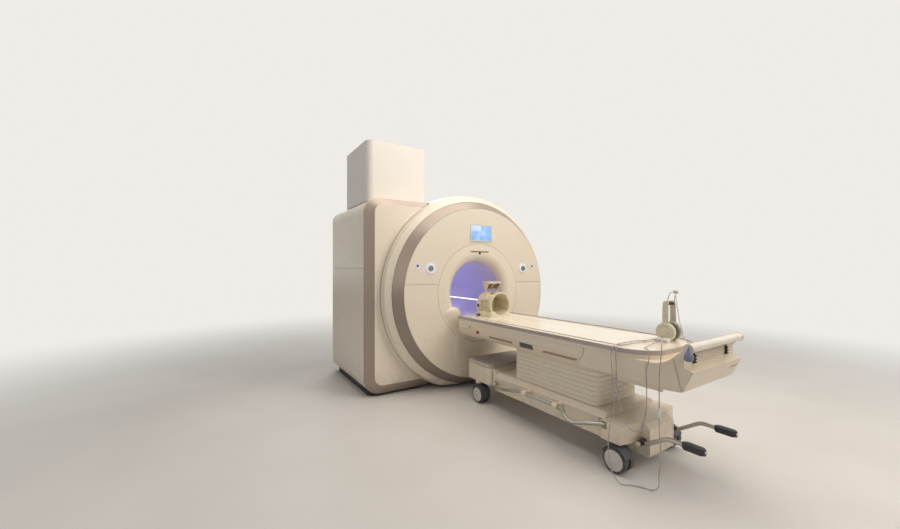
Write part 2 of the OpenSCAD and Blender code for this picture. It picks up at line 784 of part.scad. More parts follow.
// Side skirts of the table with grooves, lever recess and button seat
module skirt_outline(inset) polygon([
  [-half_table + 7 + inset, deck_low], [-half_table + 7 + inset, frame_low + 60],
  [-half_table + 22 + inset, frame_low + 8 + inset], [-half_table + 60 + inset, skirt_low + inset],
  [-215, skirt_low + inset], [-215, deck_low]
]);
module foot_outline(inset) polygon([
  [-half_table + 7 + inset, deck_low], [-half_table + 7 + inset, frame_low + 56],
  [-half_table + 12 + inset, frame_low + 14], [-half_table + 24 + inset, skirt_low + 14],
  [-half_table + 44 + inset, skirt_low + inset], [-215, skirt_low + inset], [-215, deck_low]
]);
module foot_panel_side() intersection() {
  prism_y(table_rear + 40, foot_seam + 47) foot_outline(0);
  prism_x(-400, 0) polygon([
    [table_rear - 120, 900], [foot_seam - 81, 900], [foot_seam - 44, table_height - 101],
    [foot_seam + 11, table_height - 176], [foot_seam + 28, 560], [table_rear - 120, 560]
  ]);
}

// Fine seams cut along the skirt: an upright one, the slanted one in front of the
// foot panel, one above it, and the ledge near the gantry
module skirt_seams() difference() {
  prism_x(-400, -230) {
    translate([-1837, 600]) square([2, 200]);
    polygon([
      [foot_seam - 81, 900], [foot_seam - 44, table_height - 101], [foot_seam + 11, table_height - 176],
      [foot_seam + 28, 560], [foot_seam + 33, 560], [foot_seam + 16, table_height - 176],
      [foot_seam - 39, table_height - 101], [foot_seam - 76, 900]
    ]);
    polygon([[-2277, 730], [-2274, 730], [-2266, 760], [-2269, 760]]);
    translate([-1137, table_height - 95]) square([232, 14]);
  }
  translate([0, -4000, 0]) prism_y(0, 4000) skirt_outline(4);
}
module skirt() difference() {
  union() {
    prism_y(table_rear + 40, table_front - 5) skirt_outline(0);
    foot_panel_side();
  }
  prism_y(table_rear + 60, table_front - 20) polygon([
    [-half_table + 16, deck_low - 8], [-half_table + 16, frame_low + 64],
    [-half_table + 32, frame_low + 16], [-half_table + 66, skirt_low + 8],
    [-224, skirt_low + 8], [-224, deck_low - 8]
  ]);
  block([-half_table - 10, -1730, table_height - 152], [-half_table + 23.5, -1420, table_height - 142]);
  block([-half_table - 10, -2400, table_height - 162], [-half_table + 26, -2085, table_height - 148]);
  skirt_seams();
}
module side_covers() color("#f0e8da") {
  mirror([1, 0, 0]) skirt();
  difference() {
    union() {
      difference() {
        skirt();
        block([-half_table - 10, lever_y - 80, lever_z - 8], [-half_table + 60, lever_y + 80, lever_z + 34]);
      }
      for (y = [lever_y - 94, lever_y + 82])
        block([-half_table + 15, y, lever_z + 8], [-half_table + 46, y + 12, lever_z + 36]);
      block([-half_table + 44, table_rear - 40, skirt_low - 22],
        [-half_table + 52, table_rear + 245, skirt_low + 4]);
      translate([-half_table + 12, stop_y, stop_z]) rotate([0, 90, 0]) cylinder(r = 26, h = 26);
    }
    rod([-half_table + 32, lever_y - 90, lever_z + 22], [-half_table + 32, lever_y + 90, lever_z + 22], 4 + fit);
    translate([-half_table - 10, stop_y, stop_z]) rotate([0, 90, 0]) cylinder(r = 16, h = 36);
    translate([-half_table, stop_y, stop_z]) rotate([0, 90, 0]) cylinder(r = 5 + fit, h = 60);
  }
}

// Fixed deck round the sliding board
module deck_plan(inset) {
  x = half_table - 2 - inset;
  y = table_rear + 2 + inset;
  r = corner - inset;
  translate([-x, y + r]) square([2 * x, table_front - y - r]);
  translate([-x + r, y]) square([2 * x - 2 * r, r + 1]);
  for (s = [-1, 1]) translate([s * (x - r), y + r]) circle(r);
}
module table_deck() color("#f3ebdc") difference() {
  union() {
    linear_extrude_between(deck_low, deck_top) deck_plan(10);
    linear_extrude_between(deck_low, rail_low) deck_plan(3);
  }
  block([-half_board - 3, table_front - board_length - 4, board_low],
    [half_board + 3, table_front + 10, deck_top + 10]);
}
module edge_rail() color("#8d8088") difference() {
  linear_extrude_between(rail_low, table_height + 2) deck_plan(-2);
  linear_extrude_between(rail_low - 1, table_height + 12) deck_plan(10);
  block([-half_table + 30, table_front - 1, 0], [half_table - 30, table_front + 5, 3000]);
  both_sides() prism_x(-half_table - 20, -half_table + 40) polygon([
    [-2263, 770], [-2259, 770], [-2246, 820], [-2250, 820]
  ]);
}

// Foot end: deep cheeks, grooved tray, lip and the apron that rises to the handle,
// drawn from the rear end of the table top
module at_foot() {
  translate([0, table_rear, table_height]) children();
}
module foot_housing() color("#f0e8da") at_foot() {
  difference() {
    prism_x(-320, 320) polygon([
      [39, -51], [39, -194], [-80, -190], [-166, -182], [-207, -88], [-220, -63],
      [-200, -56], [-170, -46], [-170, 26], [-192, 42], [-200, 52], [-200, 86],
      [-160, 42], [-120, 4], [-80, -26], [-40, -44], [-10, -51]
    ]);
    prism_x(-308, 308) polygon([
      [30, -63], [30, -182], [-70, -178], [-148, -168], [-158, -68], [-158, -8],
      [-130, -8], [-80, -46], [-20, -63]
    ]);
    for (z = [-36 : 11 : 19]) block([-180, -176, z], [180, -167, z + 4]);
    translate([-400, -200, 67]) rotate([0, 90, 0]) cylinder(d = handle_diameter + 0.6, h = 800);
    block([200, -230, -114], [300, -188, -105]);
  }
  both_sides() prism_x(319, half_table - 7) polygon([
    [39, -51], [39, -194], [-80, -190], [-162, -182], [-148, -134], [-114, -2],
    [-80, -26], [-40, -44], [-10, -51]
  ]);
}
module push_handle() color("#efe9e0") at_foot() {
  translate([-328, -200, 67]) rotate([0, 90, 0]) cylinder(d = handle_diameter, h = 656);
  both_sides() {
    prism_x(320, 332) polygon([
      [-122, 7], [-148, -8], [-196, 44], [-216, 67], [-200, 88], [-160, 42]
    ]);
    translate([320, -200, 67]) rotate([0, 90, 0]) cylinder(d = handle_diameter + 6, h = 12);
  }
}

// Lever under the table edge that frees the sliding board, and the stop button
module release_lever() color("#6b6a6c") {
  block([-half_table + 24, lever_y - 74, lever_z - 4], [-half_table + 34, lever_y + 74, lever_z + 26]);
  rod([-half_table + 32, lever_y - 90, lever_z + 22], [-half_table + 32, lever_y + 90, lever_z + 22], 4);
}
module stop_button() color("#c0281c") translate([-half_table, stop_y, stop_z]) rotate([0, 90, 0]) {
  cylinder(r = 14, h = 20);
  cylinder(r = 5, h = 44);
}

// Sliding board with a shallow hollow along it and a seat for the head coil
module board() color("#f5eddd") difference() {
  prism_y(table_front - board_length, table_front - 1) polygon([
    [-half_board, table_height + 1], [-half_board, table_height - 9],
    [-half_board + 36, board_low], [half_board - 36, board_low],
    [half_board, table_height - 9], [half_board, table_height + 1]
  ]);
  translate([0, table_front - board_length + 60, table_height - 5 + 5200]) rotate([-90, 0, 0])
    cylinder(r = 5200, h = board_length - 120, $fn = 720);
  block([-coil_width / 2 - 2, coil_rear - 2, coil_floor], [coil_width / 2 + 2, coil_nose + 4, 900]);
}

// Receive head coil: base tray, domed hood with windows and a tilting mirror
module coil_base() color("#efe7da") difference() {
  union() {
    translate([0, 0, coil_floor]) linear_extrude(height = 62)
      rounded(-coil_width / 2, coil_rear, coil_width / 2, coil_front, 24);
    disc_y(coil_floor + 4, 94, coil_front - 8, coil_nose);
    disc_y(coil_floor + 4, 82, coil_nose - 1, coil_nose + 3);
  }
  disc_y(coil_axis, 104, coil_rear - 5, coil_front - 22);
  block([-300, coil_rear - 10, 0], [300, coil_nose + 20, coil_floor]);
}
module disc_y(z, r, y0, y1) {
  translate([0, y0, z]) rotate([-90, 0, 0]) cylinder(r = r, h = y1 - y0);
}
module coil_hood() color("#efe7da") difference() {
  union() {
    intersection() {
      disc_y(coil_axis, 133, coil_rear + 4, coil_front - 10);
      block([-300, coil_rear - 10, coil_floor + 62], [300, coil_front, 1300]);
    }
    both_sides() {
      block([58, mirror_y - 10, coil_axis + 90], [72, mirror_y + 10, pivot_z + 10]);
      translate([60, mirror_y, pivot_z]) rotate([0, 90, 0]) cylinder(r = 4, h = 26);
    }
  }
  disc_y(coil_axis, 118, coil_rear - 5, coil_front - 24);
  block([-74, coil_rear + 30, coil_axis + 20], [-22, mirror_y - 14, 1300]);
  block([22, coil_rear + 30, coil_axis + 20], [74, mirror_y - 14, 1300]);
  both_sides() block([90, coil_rear + 50, coil_floor + 84], [200, coil_front - 70, coil_axis + 50]);
}
module coil_mirror() color("#e8dccc") {
  difference() {
    block([-86, mirror_y - 52, mirror_z], [86, mirror_y + 52, mirror_z + 12]);
    for (x = [-72, 8]) block([x, mirror_y - 40, mirror_z - 5], [x + 64, mirror_y + 40, mirror_z + 20]);
  }
  both_sides() difference() {
    block([75, mirror_y - 9, pivot_z - 7], [83, mirror_y + 9, mirror_z + 2]);
    translate([60, mirror_y, pivot_z]) rotate([0, 90, 0]) cylinder(r = 4 + fit, h = 40);
  }
}

// Headset that stands on the foot deck, with the block that its tubes meet in
module headset() color("#cfc7b4") {
  for (y = [headset_y, headset_y + 96]) translate([headset_x, y, headset_z]) rotate([-90, 0, 0]) {
    cylinder(r = cup, h = 30);
    translate([0, 0, 2]) cylinder(r = cup - 14, h = 30);
  }
  translate([0, headset_y + 63, headset_z]) rotate([90, 0, 90]) difference() {
    translate([0, 0, headset_x - 16]) cylinder(r = cup, h = 32);
    translate([0, 0, headset_x - 17]) cylinder(r = cup - 5, h = 34);
    translate([-100, -200, 0]) cube([200, 200, 400]);
  }
  for (y = [headset_y + 12, headset_y + 114])
    rod([headset_x, y, headset_z + 40], [headset_x, y, headset_z + 240], 4);
  translate([headset_x, headset_y + 63, headset_z + 240]) rotate([0, 90, 0]) difference() {
    translate([0, 0, -6]) cylinder(r = 55, h = 12);
    translate([0, 0, -7]) cylinder(r = 47, h = 14);
    translate([0, -100, -10]) cube([100, 200, 20]);
  }
  block([186, headset_y + 2, headset_z + 268], [206, headset_y + 32, headset_z + 292]);
  block([92, headset_y + 20, deck_top], [138, headset_y + 112, deck_top + 26]);
}

// Thin air tubes that hang over the edge of the table
module air_tubes() color("#d8cfc8") {
  tube(tube_loop, tube_diameter / 2);
  tube(tube_return, tube_diameter / 2);
  tube(tube_hanger, tube_diameter / 2);
  tube(bulb_tube, tube_diameter / 2);
}

// Connector in the long tube, and the squeeze bulb at the end of the short one
module tube_fittings() {
  color("#f4f1ea") translate([-370, -3042, 462]) {
    cylinder(r = 7, h = 54);
    translate([0, 0, 12]) cylinder(r = 10, h = 30);
  }
  color("#8a8f98") translate(bulb_at) {
    translate([0, 0, 856]) sphere(r = 24);
    translate([0, 0, 870]) cylinder(r1 = 21, r2 = 6, h = 38);
  }
}

base_plinth();
cryostat();
gradient_coil();
body_coil();
cold_head();
cover_frame();
bore_liner();
bore_lights();
bore_trim();
front_panel_upper();
front_panel_lower();
docking_panel();
ring_band();
round_cover();
rear_cover();
box_panel();
box_trim();
box_cover_upper();
box_cover_lower();
service_tower();
display();
control_rings();
laser_window();
bore_guide();
entry_shoulders();
dial_left();
dial_right();
button_left();
button_right();
chassis();
base_covers();
pod_lid();
bellows();
bar_left();
bar_right();
pedal_left();
pedal_right();
caster_front_left();
caster_front_right();
caster_rear_left();
caster_rear_right();
wheels_front_left();
wheels_front_right();
wheels_rear_left();
wheels_rear_right();
table_frame();
side_covers();
table_deck();
edge_rail();
foot_housing();
push_handle();
release_lever();
stop_button();
board();
coil_base();
coil_hood();
coil_mirror();
headset();
air_tubes();
tube_fittings();
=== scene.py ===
import math

import bmesh
import bpy
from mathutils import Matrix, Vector
from mathutils.geometry import interpolate_bezier


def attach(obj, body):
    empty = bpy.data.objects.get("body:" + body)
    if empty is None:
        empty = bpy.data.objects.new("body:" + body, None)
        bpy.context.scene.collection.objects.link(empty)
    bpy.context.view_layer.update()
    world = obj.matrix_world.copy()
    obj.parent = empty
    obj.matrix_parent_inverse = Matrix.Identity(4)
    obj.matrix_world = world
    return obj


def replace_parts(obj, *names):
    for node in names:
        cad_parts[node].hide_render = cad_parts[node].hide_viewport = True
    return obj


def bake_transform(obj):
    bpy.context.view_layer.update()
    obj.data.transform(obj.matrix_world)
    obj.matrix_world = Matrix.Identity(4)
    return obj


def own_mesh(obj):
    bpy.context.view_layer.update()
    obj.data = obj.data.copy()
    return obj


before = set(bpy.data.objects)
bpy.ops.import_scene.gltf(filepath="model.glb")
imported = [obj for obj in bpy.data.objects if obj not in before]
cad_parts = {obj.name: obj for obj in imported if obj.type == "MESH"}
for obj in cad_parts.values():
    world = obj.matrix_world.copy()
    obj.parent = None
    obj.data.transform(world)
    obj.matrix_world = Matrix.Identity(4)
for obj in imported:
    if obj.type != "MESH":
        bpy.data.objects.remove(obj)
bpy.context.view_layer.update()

# Measures shared by several pieces, in metres
AXIS = 1.04  # height of the bore's axis
BORE = 0.350  # radius of the bore
WHEEL = 0.08  # radius of the wheels, and the height of their axles
LOW, HIGH = 0.335, 0.584  # lower and upper end of the bellows
FOLDS = 7
COVER_Z, COVER_R = 0.230, 0.170  # lower corner of the side box: height and radius
PAPER = "#efece7"  # colour of the background
CREAM, CREAM_SHADE = "#ece1cf", "#e4d6c0"
STEEL, GREY_FRAME = "#b3b0ab", "#8b9093"
SIDES = ((-1, "left"), (1, "right"))

# ---------------------------------------------------------------- camera
lens = bpy.data.cameras.new("camera")
lens.sensor_width = 36
lens.lens = 14.68
lens.shift_x = -0.0095
lens.shift_y = 0.0038
camera = bpy.data.objects.new("camera", lens)
camera.location = (-2.475, -4.164, 1.317)
camera.rotation_euler = (math.radians(90), 0, math.radians(-33.28))
bpy.context.scene.collection.objects.link(camera)
bpy.context.scene.camera = camera


def tint(code):
    """Linear colour from an sRGB hex code."""
    parts = [int(code[i : i + 2], 16) / 255 for i in (1, 3, 5)]
    return [c / 12.92 if c <= 0.04045 else ((c + 0.055) / 1.055) ** 2.4 for c in parts] + [1.0]


def shaded(code, factor):
    """Hex code of a colour made darker by factor."""
    return "#" + "".join(f"{int(int(code[i : i + 2], 16) * factor):02x}" for i in (1, 3, 5))


class Look:
    """One node-built material, laid out in the coordinates of the frame."""

    def __init__(self, name, color="#ffffff", rough=0.5, **sockets):
        self.mat = bpy.data.materials.new(name)
        self.mat.use_nodes = True
        self.tree = self.mat.node_tree
        self.tree.nodes.clear()
        out = self.node("ShaderNodeOutputMaterial")
        self.shader = self.node("ShaderNodeBsdfPrincipled")
        self.tree.links.new(self.shader.outputs[0], out.inputs[0])
        self.shader.inputs["Base Color"].default_value = tint(color)
        self.shader.inputs["Roughness"].default_value = rough
        for key, value in sockets.items():
            self.shader.inputs[key.replace("_", " ")].default_value = value
        self.soft = 0.0
        self.place = self.node("ShaderNodeTexCoord").outputs["Object"]
        split = self.node("ShaderNodeSeparateXYZ")
        self.tree.links.new(self.place, split.inputs[0])
        self.x, self.y, self.z = split.outputs

    def node(self, kind, **props):
        made = self.tree.nodes.new(kind)
        for key, value in props.items():
            setattr(made, key, value)
        return made

    def put(self, socket, value):
        """Links a socket, or writes a hex colour or a number into it."""
        if isinstance(value, bpy.types.NodeSocket):
            self.tree.links.new(value, socket)
        elif isinstance(value, str):
            socket.default_value = tint(value)
        else:
            socket.default_value = value

    def set(self, name, value):
        self.put(self.shader.inputs[name], value)

    def math(self, op, a, b=0.0):
        made = self.node("ShaderNodeMath", operation=op)
        for socket, value in zip(made.inputs, (a, b)):
            self.put(socket, value)
        return made.outputs[0]

    def span(self, value, low, high, to_low=0.0, to_high=1.0):
        """Smooth step of value from to_low at low to to_high at high."""
        made = self.node("ShaderNodeMapRange", interpolation_type="SMOOTHSTEP")
        for socket, v in zip(made.inputs, (value, low, high, to_low, to_high)):
            self.put(socket, v)
        return made.outputs[0]

    def stretch(self, scale):
        made = self.node("ShaderNodeMapping")
        self.put(made.inputs["Vector"], self.place)
        made.inputs["Scale"].default_value = scale
        return made.outputs[0]

    def noise(self, scale, detail, along=None):
        made = self.node("ShaderNodeTexNoise")
        self.put(made.inputs["Vector"], self.stretch(along) if along else self.place)
        made.inputs["Scale"].default_value = scale
        made.inputs["Detail"].default_value = detail
        made.inputs["Roughness"].default_value = 0.55
        return made.outputs["Fac"]

    def cells(self, scale):
        made = self.node("ShaderNodeTexVoronoi")
        self.put(made.inputs["Vector"], self.place)
        made.inputs["Scale"].default_value = scale
        return made.outputs["Distance"]

    def waves(self, scale, axis):
        made = self.node("ShaderNodeTexWave", bands_direction=axis)
        self.put(made.inputs["Vector"], self.place)
        made.inputs["Scale"].default_value = scale
        return made.outputs["Fac"]

    def mix(self, share, a, b):
        made = self.node("ShaderNodeMix", data_type="RGBA")
        self.put(made.inputs[0], share)
        self.put(made.inputs[6], a)
        self.put(made.inputs[7], b)
        return made.outputs[2]

    def bump(self, height, strength, depth):
        """Adds to the bumps so far; the first one also rounds the edges of a soft look."""
        made = self.node("ShaderNodeBump")
        made.inputs["Strength"].default_value = strength
        made.inputs["Distance"].default_value = depth
        self.put(made.inputs["Height"], height)
        last = self.shader.inputs["Normal"]
        if self.soft and not last.is_linked:
            worn = self.node("ShaderNodeBevel", samples=4)
            worn.inputs["Radius"].default_value = self.soft
            self.put(made.inputs["Normal"], worn.outputs[0])
        if last.is_linked:
            self.tree.links.new(last.links[0].from_socket, made.inputs["Normal"])
        self.put(last, made.outputs[0])

    def near(self, point, axes, inner, outer):
        """1 within inner of the line through point along the third axis, 0 past outer."""
        parts = [self.math("SUBTRACT", getattr(self, a), p) for a, p in zip(axes, point)]
        squares = self.math("ADD", *(self.math("POWER", part, 2.0) for part in parts))
        return self.span(self.math("SQRT", squares), outer, inner)


# ---------------------------------------------------------------- looks
def shell(name, main, shade, rough=0.34, dusty=True, coat=0.25, soft=0.007):
    """Moulded, painted cover: faint clouding, fine orange peel, scuffs, dust near the floor."""
    look = Look(name, main, rough, Coat_Weight=coat, Coat_Roughness=0.18)
    look.soft = soft
    color = look.mix(look.span(look.noise(0.7, 2), 0.2, 0.85), main, shade)
    scuffs = look.span(look.noise(9, 6, along=(1, 0.25, 3)), 0.66, 0.8)
    color = look.mix(look.math("MULTIPLY", scuffs, 0.04), color, "#c9baa3")
    if dusty:
        patches = look.span(look.noise(14, 5), 0.3, 0.75)
        low = look.math("MULTIPLY", look.span(look.z, 0.34, 0.03), patches)
        color = look.mix(look.math("MULTIPLY", low, 0.45), color, "#8f8270")
    look.set("Base Color", color)
    look.set("Roughness", look.span(look.noise(6, 4), 0.25, 0.75, rough - 0.07, rough + 0.1))
    look.bump(look.noise(420, 2), 0.12, 0.0006)
    return look


def metal(name, color, rough, brushed=(1, 1, 1)):
    """Metal with a fine grain, drawn out by brushed, and a faint tarnish."""
    look = Look(name, color, rough, Metallic=1.0)
    grain = look.noise(260, 3, along=brushed)
    look.set("Roughness", look.span(grain, 0.2, 0.8, rough - 0.08, rough + 0.12))
    tarnish = look.span(look.noise(5, 4), 0.3, 0.8)
    look.set("Base Color", look.mix(tarnish, color, shaded(color, 0.86)))
    look.bump(grain, 0.15, 0.0003)
    return look


def plastic(name, color, rough, grain=600, depth=0.0002, coat=0.0, warm=0.92):
    """Moulded plastic, foam or paint, with darker patches where it is worn."""
    look = Look(name, color, rough, Coat_Weight=coat, Coat_Roughness=0.1)
    worn = look.span(look.noise(7, 4), 0.3, 0.75)
    look.set("Base Color", look.mix(worn, color, shaded(color, warm)))
    look.set("Roughness", look.span(look.noise(20, 4), 0.25, 0.75, rough - 0.06, rough + 0.08))
    look.bump(look.noise(grain, 2), 0.3, depth)
    return look


cream = shell("cream_cover", CREAM, CREAM_SHADE)
smooth = shell("smooth_cover", CREAM, CREAM_SHADE, soft=0.0)
panel = shell("front_panel", "#ede2d0", "#e6d8c2", rough=0.34, coat=0.3)
cover = shell("base_cover", "#e9dcc8", "#dfd0b8", rough=0.4)
tower = shell("tower_paint", "#f1ede7", "#ebe5dc", rough=0.5, dusty=False, coat=0.05)

band = Look("satin_band", "#9d8d80", 0.36, Metallic=0.55, Coat_Weight=0.3, Coat_Roughness=0.25)
flakes = band.span(band.cells(900), 0.0, 0.6)
band.set("Base Color", band.mix(band.math("MULTIPLY", flakes, 0.35), "#a59689", "#83756a"))
band.set("Roughness", band.span(band.noise(4, 5), 0.3, 0.7, 0.3, 0.46))
band.bump(band.noise(500, 2), 0.08, 0.0004)

liner = Look("bore_liner", "#cdc7dc", 0.3, Coat_Weight=0.2)
# Painted light: the liner glows faintly though it is no lamp. Deeper in, its lilac is a painted
# glow, darker in colour and brighter in glow, and its lower side is painted darker as shade
painted_glow_deep = liner.span(liner.y, -0.72, -0.1)
painted_shade_low = liner.span(liner.z, 1.3, 0.85)
lilac = liner.mix(painted_glow_deep, "#dbd4e0", "#c1bad9")
liner.set("Base Color", liner.mix(liner.math("MULTIPLY", painted_shade_low, 0.4), lilac, "#a8a1cb"))
liner.set("Emission Color", liner.mix(painted_glow_deep, "#383444", "#857eaf"))
liner.shader.inputs["Emission Strength"].default_value = 0.42
liner.bump(liner.noise(380, 2), 0.08, 0.0005)

light = Look("light_strip", "#ffffff", 0.4)
spots = light.span(light.waves(9.0, "Y"), 0.0, 1.0, 0.75, 1.0)
light.set("Emission Color", light.mix(spots, "#b4acf4", "#e6e2ff"))
light.shader.inputs["Emission Strength"].default_value = 1.9

dark_glass = Look("dark_glass", "#4a2f1e", 0.12, Coat_Weight=0.6)
smoke = dark_glass.span(dark_glass.noise(30, 3), 0.3, 0.7)
dark_glass.set("Base Color", dark_glass.mix(smoke, "#5a3a24", "#38241a"))
dark_glass.bump(dark_glass.noise(90, 2), 0.05, 0.0003)

control = plastic("control_white", "#e8e9f2", 0.28, coat=0.3)
# Painted glow: the white control plastic emits a faint lilac light, mottled by noise
painted_glow_mottle = control.span(control.noise(40, 2), 0.3, 0.7)
control.set("Emission Color", control.mix(painted_glow_mottle, "#c9c6e6", "#d9d7f0"))
control.shader.inputs["Emission Strength"].default_value = 0.25
bezel = plastic("screen_bezel", "#efe6d6", 0.3, coat=0.3)
button = plastic("button_blue_grey", "#5b6470", 0.35, coat=0.2)
lever = plastic("lever_grey", "#5f5d5e", 0.5)
stop = plastic("stop_red", "#b3201a", 0.3, coat=0.4, warm=0.8)
black = plastic("black_plastic", "#2c2b2d", 0.5)
frame_paint = plastic("frame_paint", GREY_FRAME, 0.45)
collar = frame_paint.span(frame_paint.z, 0.6115, 0.6105)
frame_paint.set("Base Color", frame_paint.mix(collar, GREY_FRAME, "#e4d7c2"))
# Painted shadow: the plinth is near-black so that it reads as the shadow gap under the box
shadow_plinth = plastic("plinth_paint", "#35312e", 0.75)
magnet = plastic("magnet_paint", "#a5a9ac", 0.42, coat=0.1)
handle = plastic("handle_grip", "#eee6d8", 0.32, coat=0.25)
caster_paint = plastic("caster_grey", "#4d4c50", 0.5)
hub_grey = plastic("hub_grey", "#cfccc6", 0.4, coat=0.15)
foam = plastic("ear_foam", "#8f8c80", 0.9, grain=260, depth=0.0012)
steel = metal("brushed_steel", STEEL, 0.34, brushed=(6, 0.4, 6))
bare = metal("bare_steel", "#a7aaad", 0.4)
copper = metal("copper_strips", "#c07f52", 0.35, brushed=(1, 8, 1))
chrome = metal("rivet_steel", "#c9c8c6", 0.22)

resin = Look("cast_resin", "#b48a4c", 0.45)
turns = resin.waves(26.0, "Y")
resin.set("Base Color", resin.mix(turns, "#b98f52", "#96703a"))
resin.bump(turns, 0.5, 0.003)

knob = metal("knob_metal", "#8f8b88", 0.3)
lid = Look("lid_grey", "#a9a196", 0.5)
edge = lid.span(lid.z, 0.383, 0.366)
rim_x = lid.span(lid.math("ABSOLUTE", lid.x), 0.306, 0.318)
lid_top = lid.mix(lid.span(lid.noise(3, 5), 0.3, 0.75), "#a39c92", "#b2aaa0")
lid.set("Base Color", lid.mix(lid.math("MAXIMUM", edge, rim_x), lid_top, "#c9c3b8"))
lid.set("Roughness", lid.span(lid.noise(9, 4), 0.3, 0.7, 0.42, 0.6))
lid.bump(lid.noise(300, 3), 0.3, 0.0006)

bellows = Look("coated_fabric", "#e8dcc9", 0.62, Sheen_Weight=0.15)
risen = bellows.math("SUBTRACT", bellows.z, LOW)
pitch = bellows.math("FRACT", bellows.math("DIVIDE", risen, (HIGH - LOW) / FOLDS))
# Painted shade in the creases of the folds, broken up by noise
crease = bellows.span(bellows.math("ABSOLUTE", bellows.math("SUBTRACT", pitch, 0.5)), 0.3, 0.5)
crease_shade = bellows.math("MULTIPLY", crease, bellows.span(bellows.noise(6, 5), 0.2, 0.8))
bellows.set("Base Color", bellows.mix(bellows.math("MULTIPLY", crease_shade, 0.45), "#eadfcd", "#b9a88e"))
weave = bellows.math("ADD", bellows.waves(420, "X"), bellows.waves(420, "Y"))
bellows.bump(bellows.math("ADD", weave, bellows.waves(420, "Z")), 0.12, 0.0004)
bellows.bump(bellows.noise(18, 3), 0.25, 0.003)


def wheel_look(name, y):
    """Dusty rubber with a pale hub, for wheels on the axle at y."""
    look = Look(name, "#4a4a4d", 0.6)
    hub = look.near((y, WHEEL), "yz", 0.0645, 0.0655)
    dust = look.span(look.noise(40, 5), 0.35, 0.8)
    rubber = look.mix(look.math("MULTIPLY", dust, 0.4), "#47474b", "#77736c")
    look.set("Base Color", look.mix(hub, rubber, "#cfccc4"))
    look.set("Roughness", look.mix(hub, "#c0c0c0", "#808080"))
    look.bump(look.noise(500, 3), 0.3, 0.0004)
    return look


def top_look(name, main, shade):
    """Table top plastic with long, faint rub marks from the sliding board."""
    look = Look(name, main, 0.3, Coat_Weight=0.3, Coat_Roughness=0.15)
    color = look.mix(look.span(look.noise(1.6, 4), 0.3, 0.75), main, shade)
    rubs = look.span(look.noise(30, 5, along=(1, 0.03, 1)), 0.58, 0.75)
    look.set("Base Color", look.mix(look.math("MULTIPLY", rubs, 0.16), color, "#cdbfa8"))
    look.set("Roughness", look.span(rubs, 0.0, 1.0, 0.26, 0.42))
    look.bump(look.noise(380, 2), 0.08, 0.0004)
    return look


deck = top_look("deck_cream", "#efe5d3", "#e7dac4")
board = top_look("board_cream", "#f1e8d7", "#e9dec9")
rail = Look("rail_mauve", "#8f8289", 0.48)
rubs = rail.span(rail.noise(12, 5, along=(1, 0.2, 1)), 0.3, 0.8)
rail.set("Base Color", rail.mix(rubs, "#b9adaa", "#a3968f"))
rail.bump(rail.noise(420, 3), 0.25, 0.0004)

coil = Look("coil_shell", "#e6dcc0", 0.32, Coat_Weight=0.35, Subsurface_Weight=0.1)
mottle = coil.span(coil.noise(16, 4), 0.3, 0.75)
coil.set("Base Color", coil.mix(mottle, "#ebe1c8", "#d9cca8"))
coil.bump(coil.noise(340, 2), 0.1, 0.0004)

mirror = metal("mirror_glass", "#d9dde0", 0.04)
pedal = Look("pedal_steel", STEEL, 0.34)
rubber_end = pedal.span(pedal.y, -3.09, -3.096)
root = pedal.span(pedal.y, -2.868, -2.862)
dark = pedal.math("MAXIMUM", rubber_end, root)
pedal.set("Base Color", pedal.mix(dark, STEEL, "#2f2e30"))
pedal.set("Metallic", pedal.math("SUBTRACT", 1.0, dark))
pedal.set("Roughness", pedal.span(dark, 0.0, 1.0, 0.34, 0.6))
pedal.bump(pedal.noise(300, 3), 0.15, 0.0004)

headset = Look("headset_plastic", "#d9d3bd", 0.42, Coat_Weight=0.15)
aged = headset.span(headset.noise(22, 4), 0.3, 0.75)
headset.set("Base Color", headset.mix(aged, "#ddd7c3", "#c9c2a8"))
headset.bump(headset.noise(420, 2), 0.2, 0.0004)

tube = Look("clear_tube", "#b9aeb2", 0.25, Transmission_Weight=0.45, IOR=1.42)
tube.set("Base Color", tube.mix(tube.span(tube.noise(25, 3), 0.3, 0.7), "#d6cccd", "#bdb2b6"))
tube.bump(tube.noise(200, 2), 0.1, 0.0003)
bulb = plastic("bulb_rubber", "#7f879a", 0.55, grain=300)
white = plastic("connector_white", "#f0ede6", 0.35, coat=0.2)

screen = Look("screen_light", "#0f1a2a", 0.15, Coat_Weight=0.4)
clouds = screen.span(screen.noise(14, 2), 0.35, 0.65)
sides = screen.near((0.0, 1.715), "xz", 0.02, 0.2)
paler = screen.math("MULTIPLY", clouds, sides)
screen.set("Emission Color", screen.mix(paler, "#8dbcf4", "#bfdcff"))
screen.shader.inputs["Emission Strength"].default_value = 0.95

LOOKS = {
    "base_plinth": shadow_plinth, "cryostat": magnet, "gradient_coil": resin, "body_coil": copper,
    "cold_head": bare, "cover_frame": bare, "bore_liner": liner, "bore_lights": light,
    "bore_trim": panel, "front_panel_upper": panel, "front_panel_lower": panel,
    "docking_panel": panel, "ring_band": band, "round_cover": cream, "rear_cover": cream,
    "box_panel": panel, "box_trim": band, "box_cover_upper": cream, "box_cover_lower": cream,
    "service_tower": tower, "display": bezel, "control_rings": control,
    "laser_window": dark_glass, "bore_guide": liner, "entry_shoulders": panel,
    "dial_left": knob, "dial_right": knob, "button_left": button, "button_right": button,
    "chassis": cover, "base_covers": cover, "pod_lid": lid, "bellows": bellows,
    "bar_left": steel, "bar_right": steel, "pedal_left": pedal, "pedal_right": pedal,
    "table_frame": frame_paint, "side_covers": cover, "table_deck": deck, "edge_rail": rail,
    "foot_housing": cover, "push_handle": handle, "release_lever": lever, "stop_button": stop,
    "board": board, "coil_base": coil, "coil_hood": coil, "coil_mirror": coil,
    "headset": headset, "air_tubes": tube, "tube_fittings": white,
}
AXLES = (("front", -1.26), ("rear", -2.74))
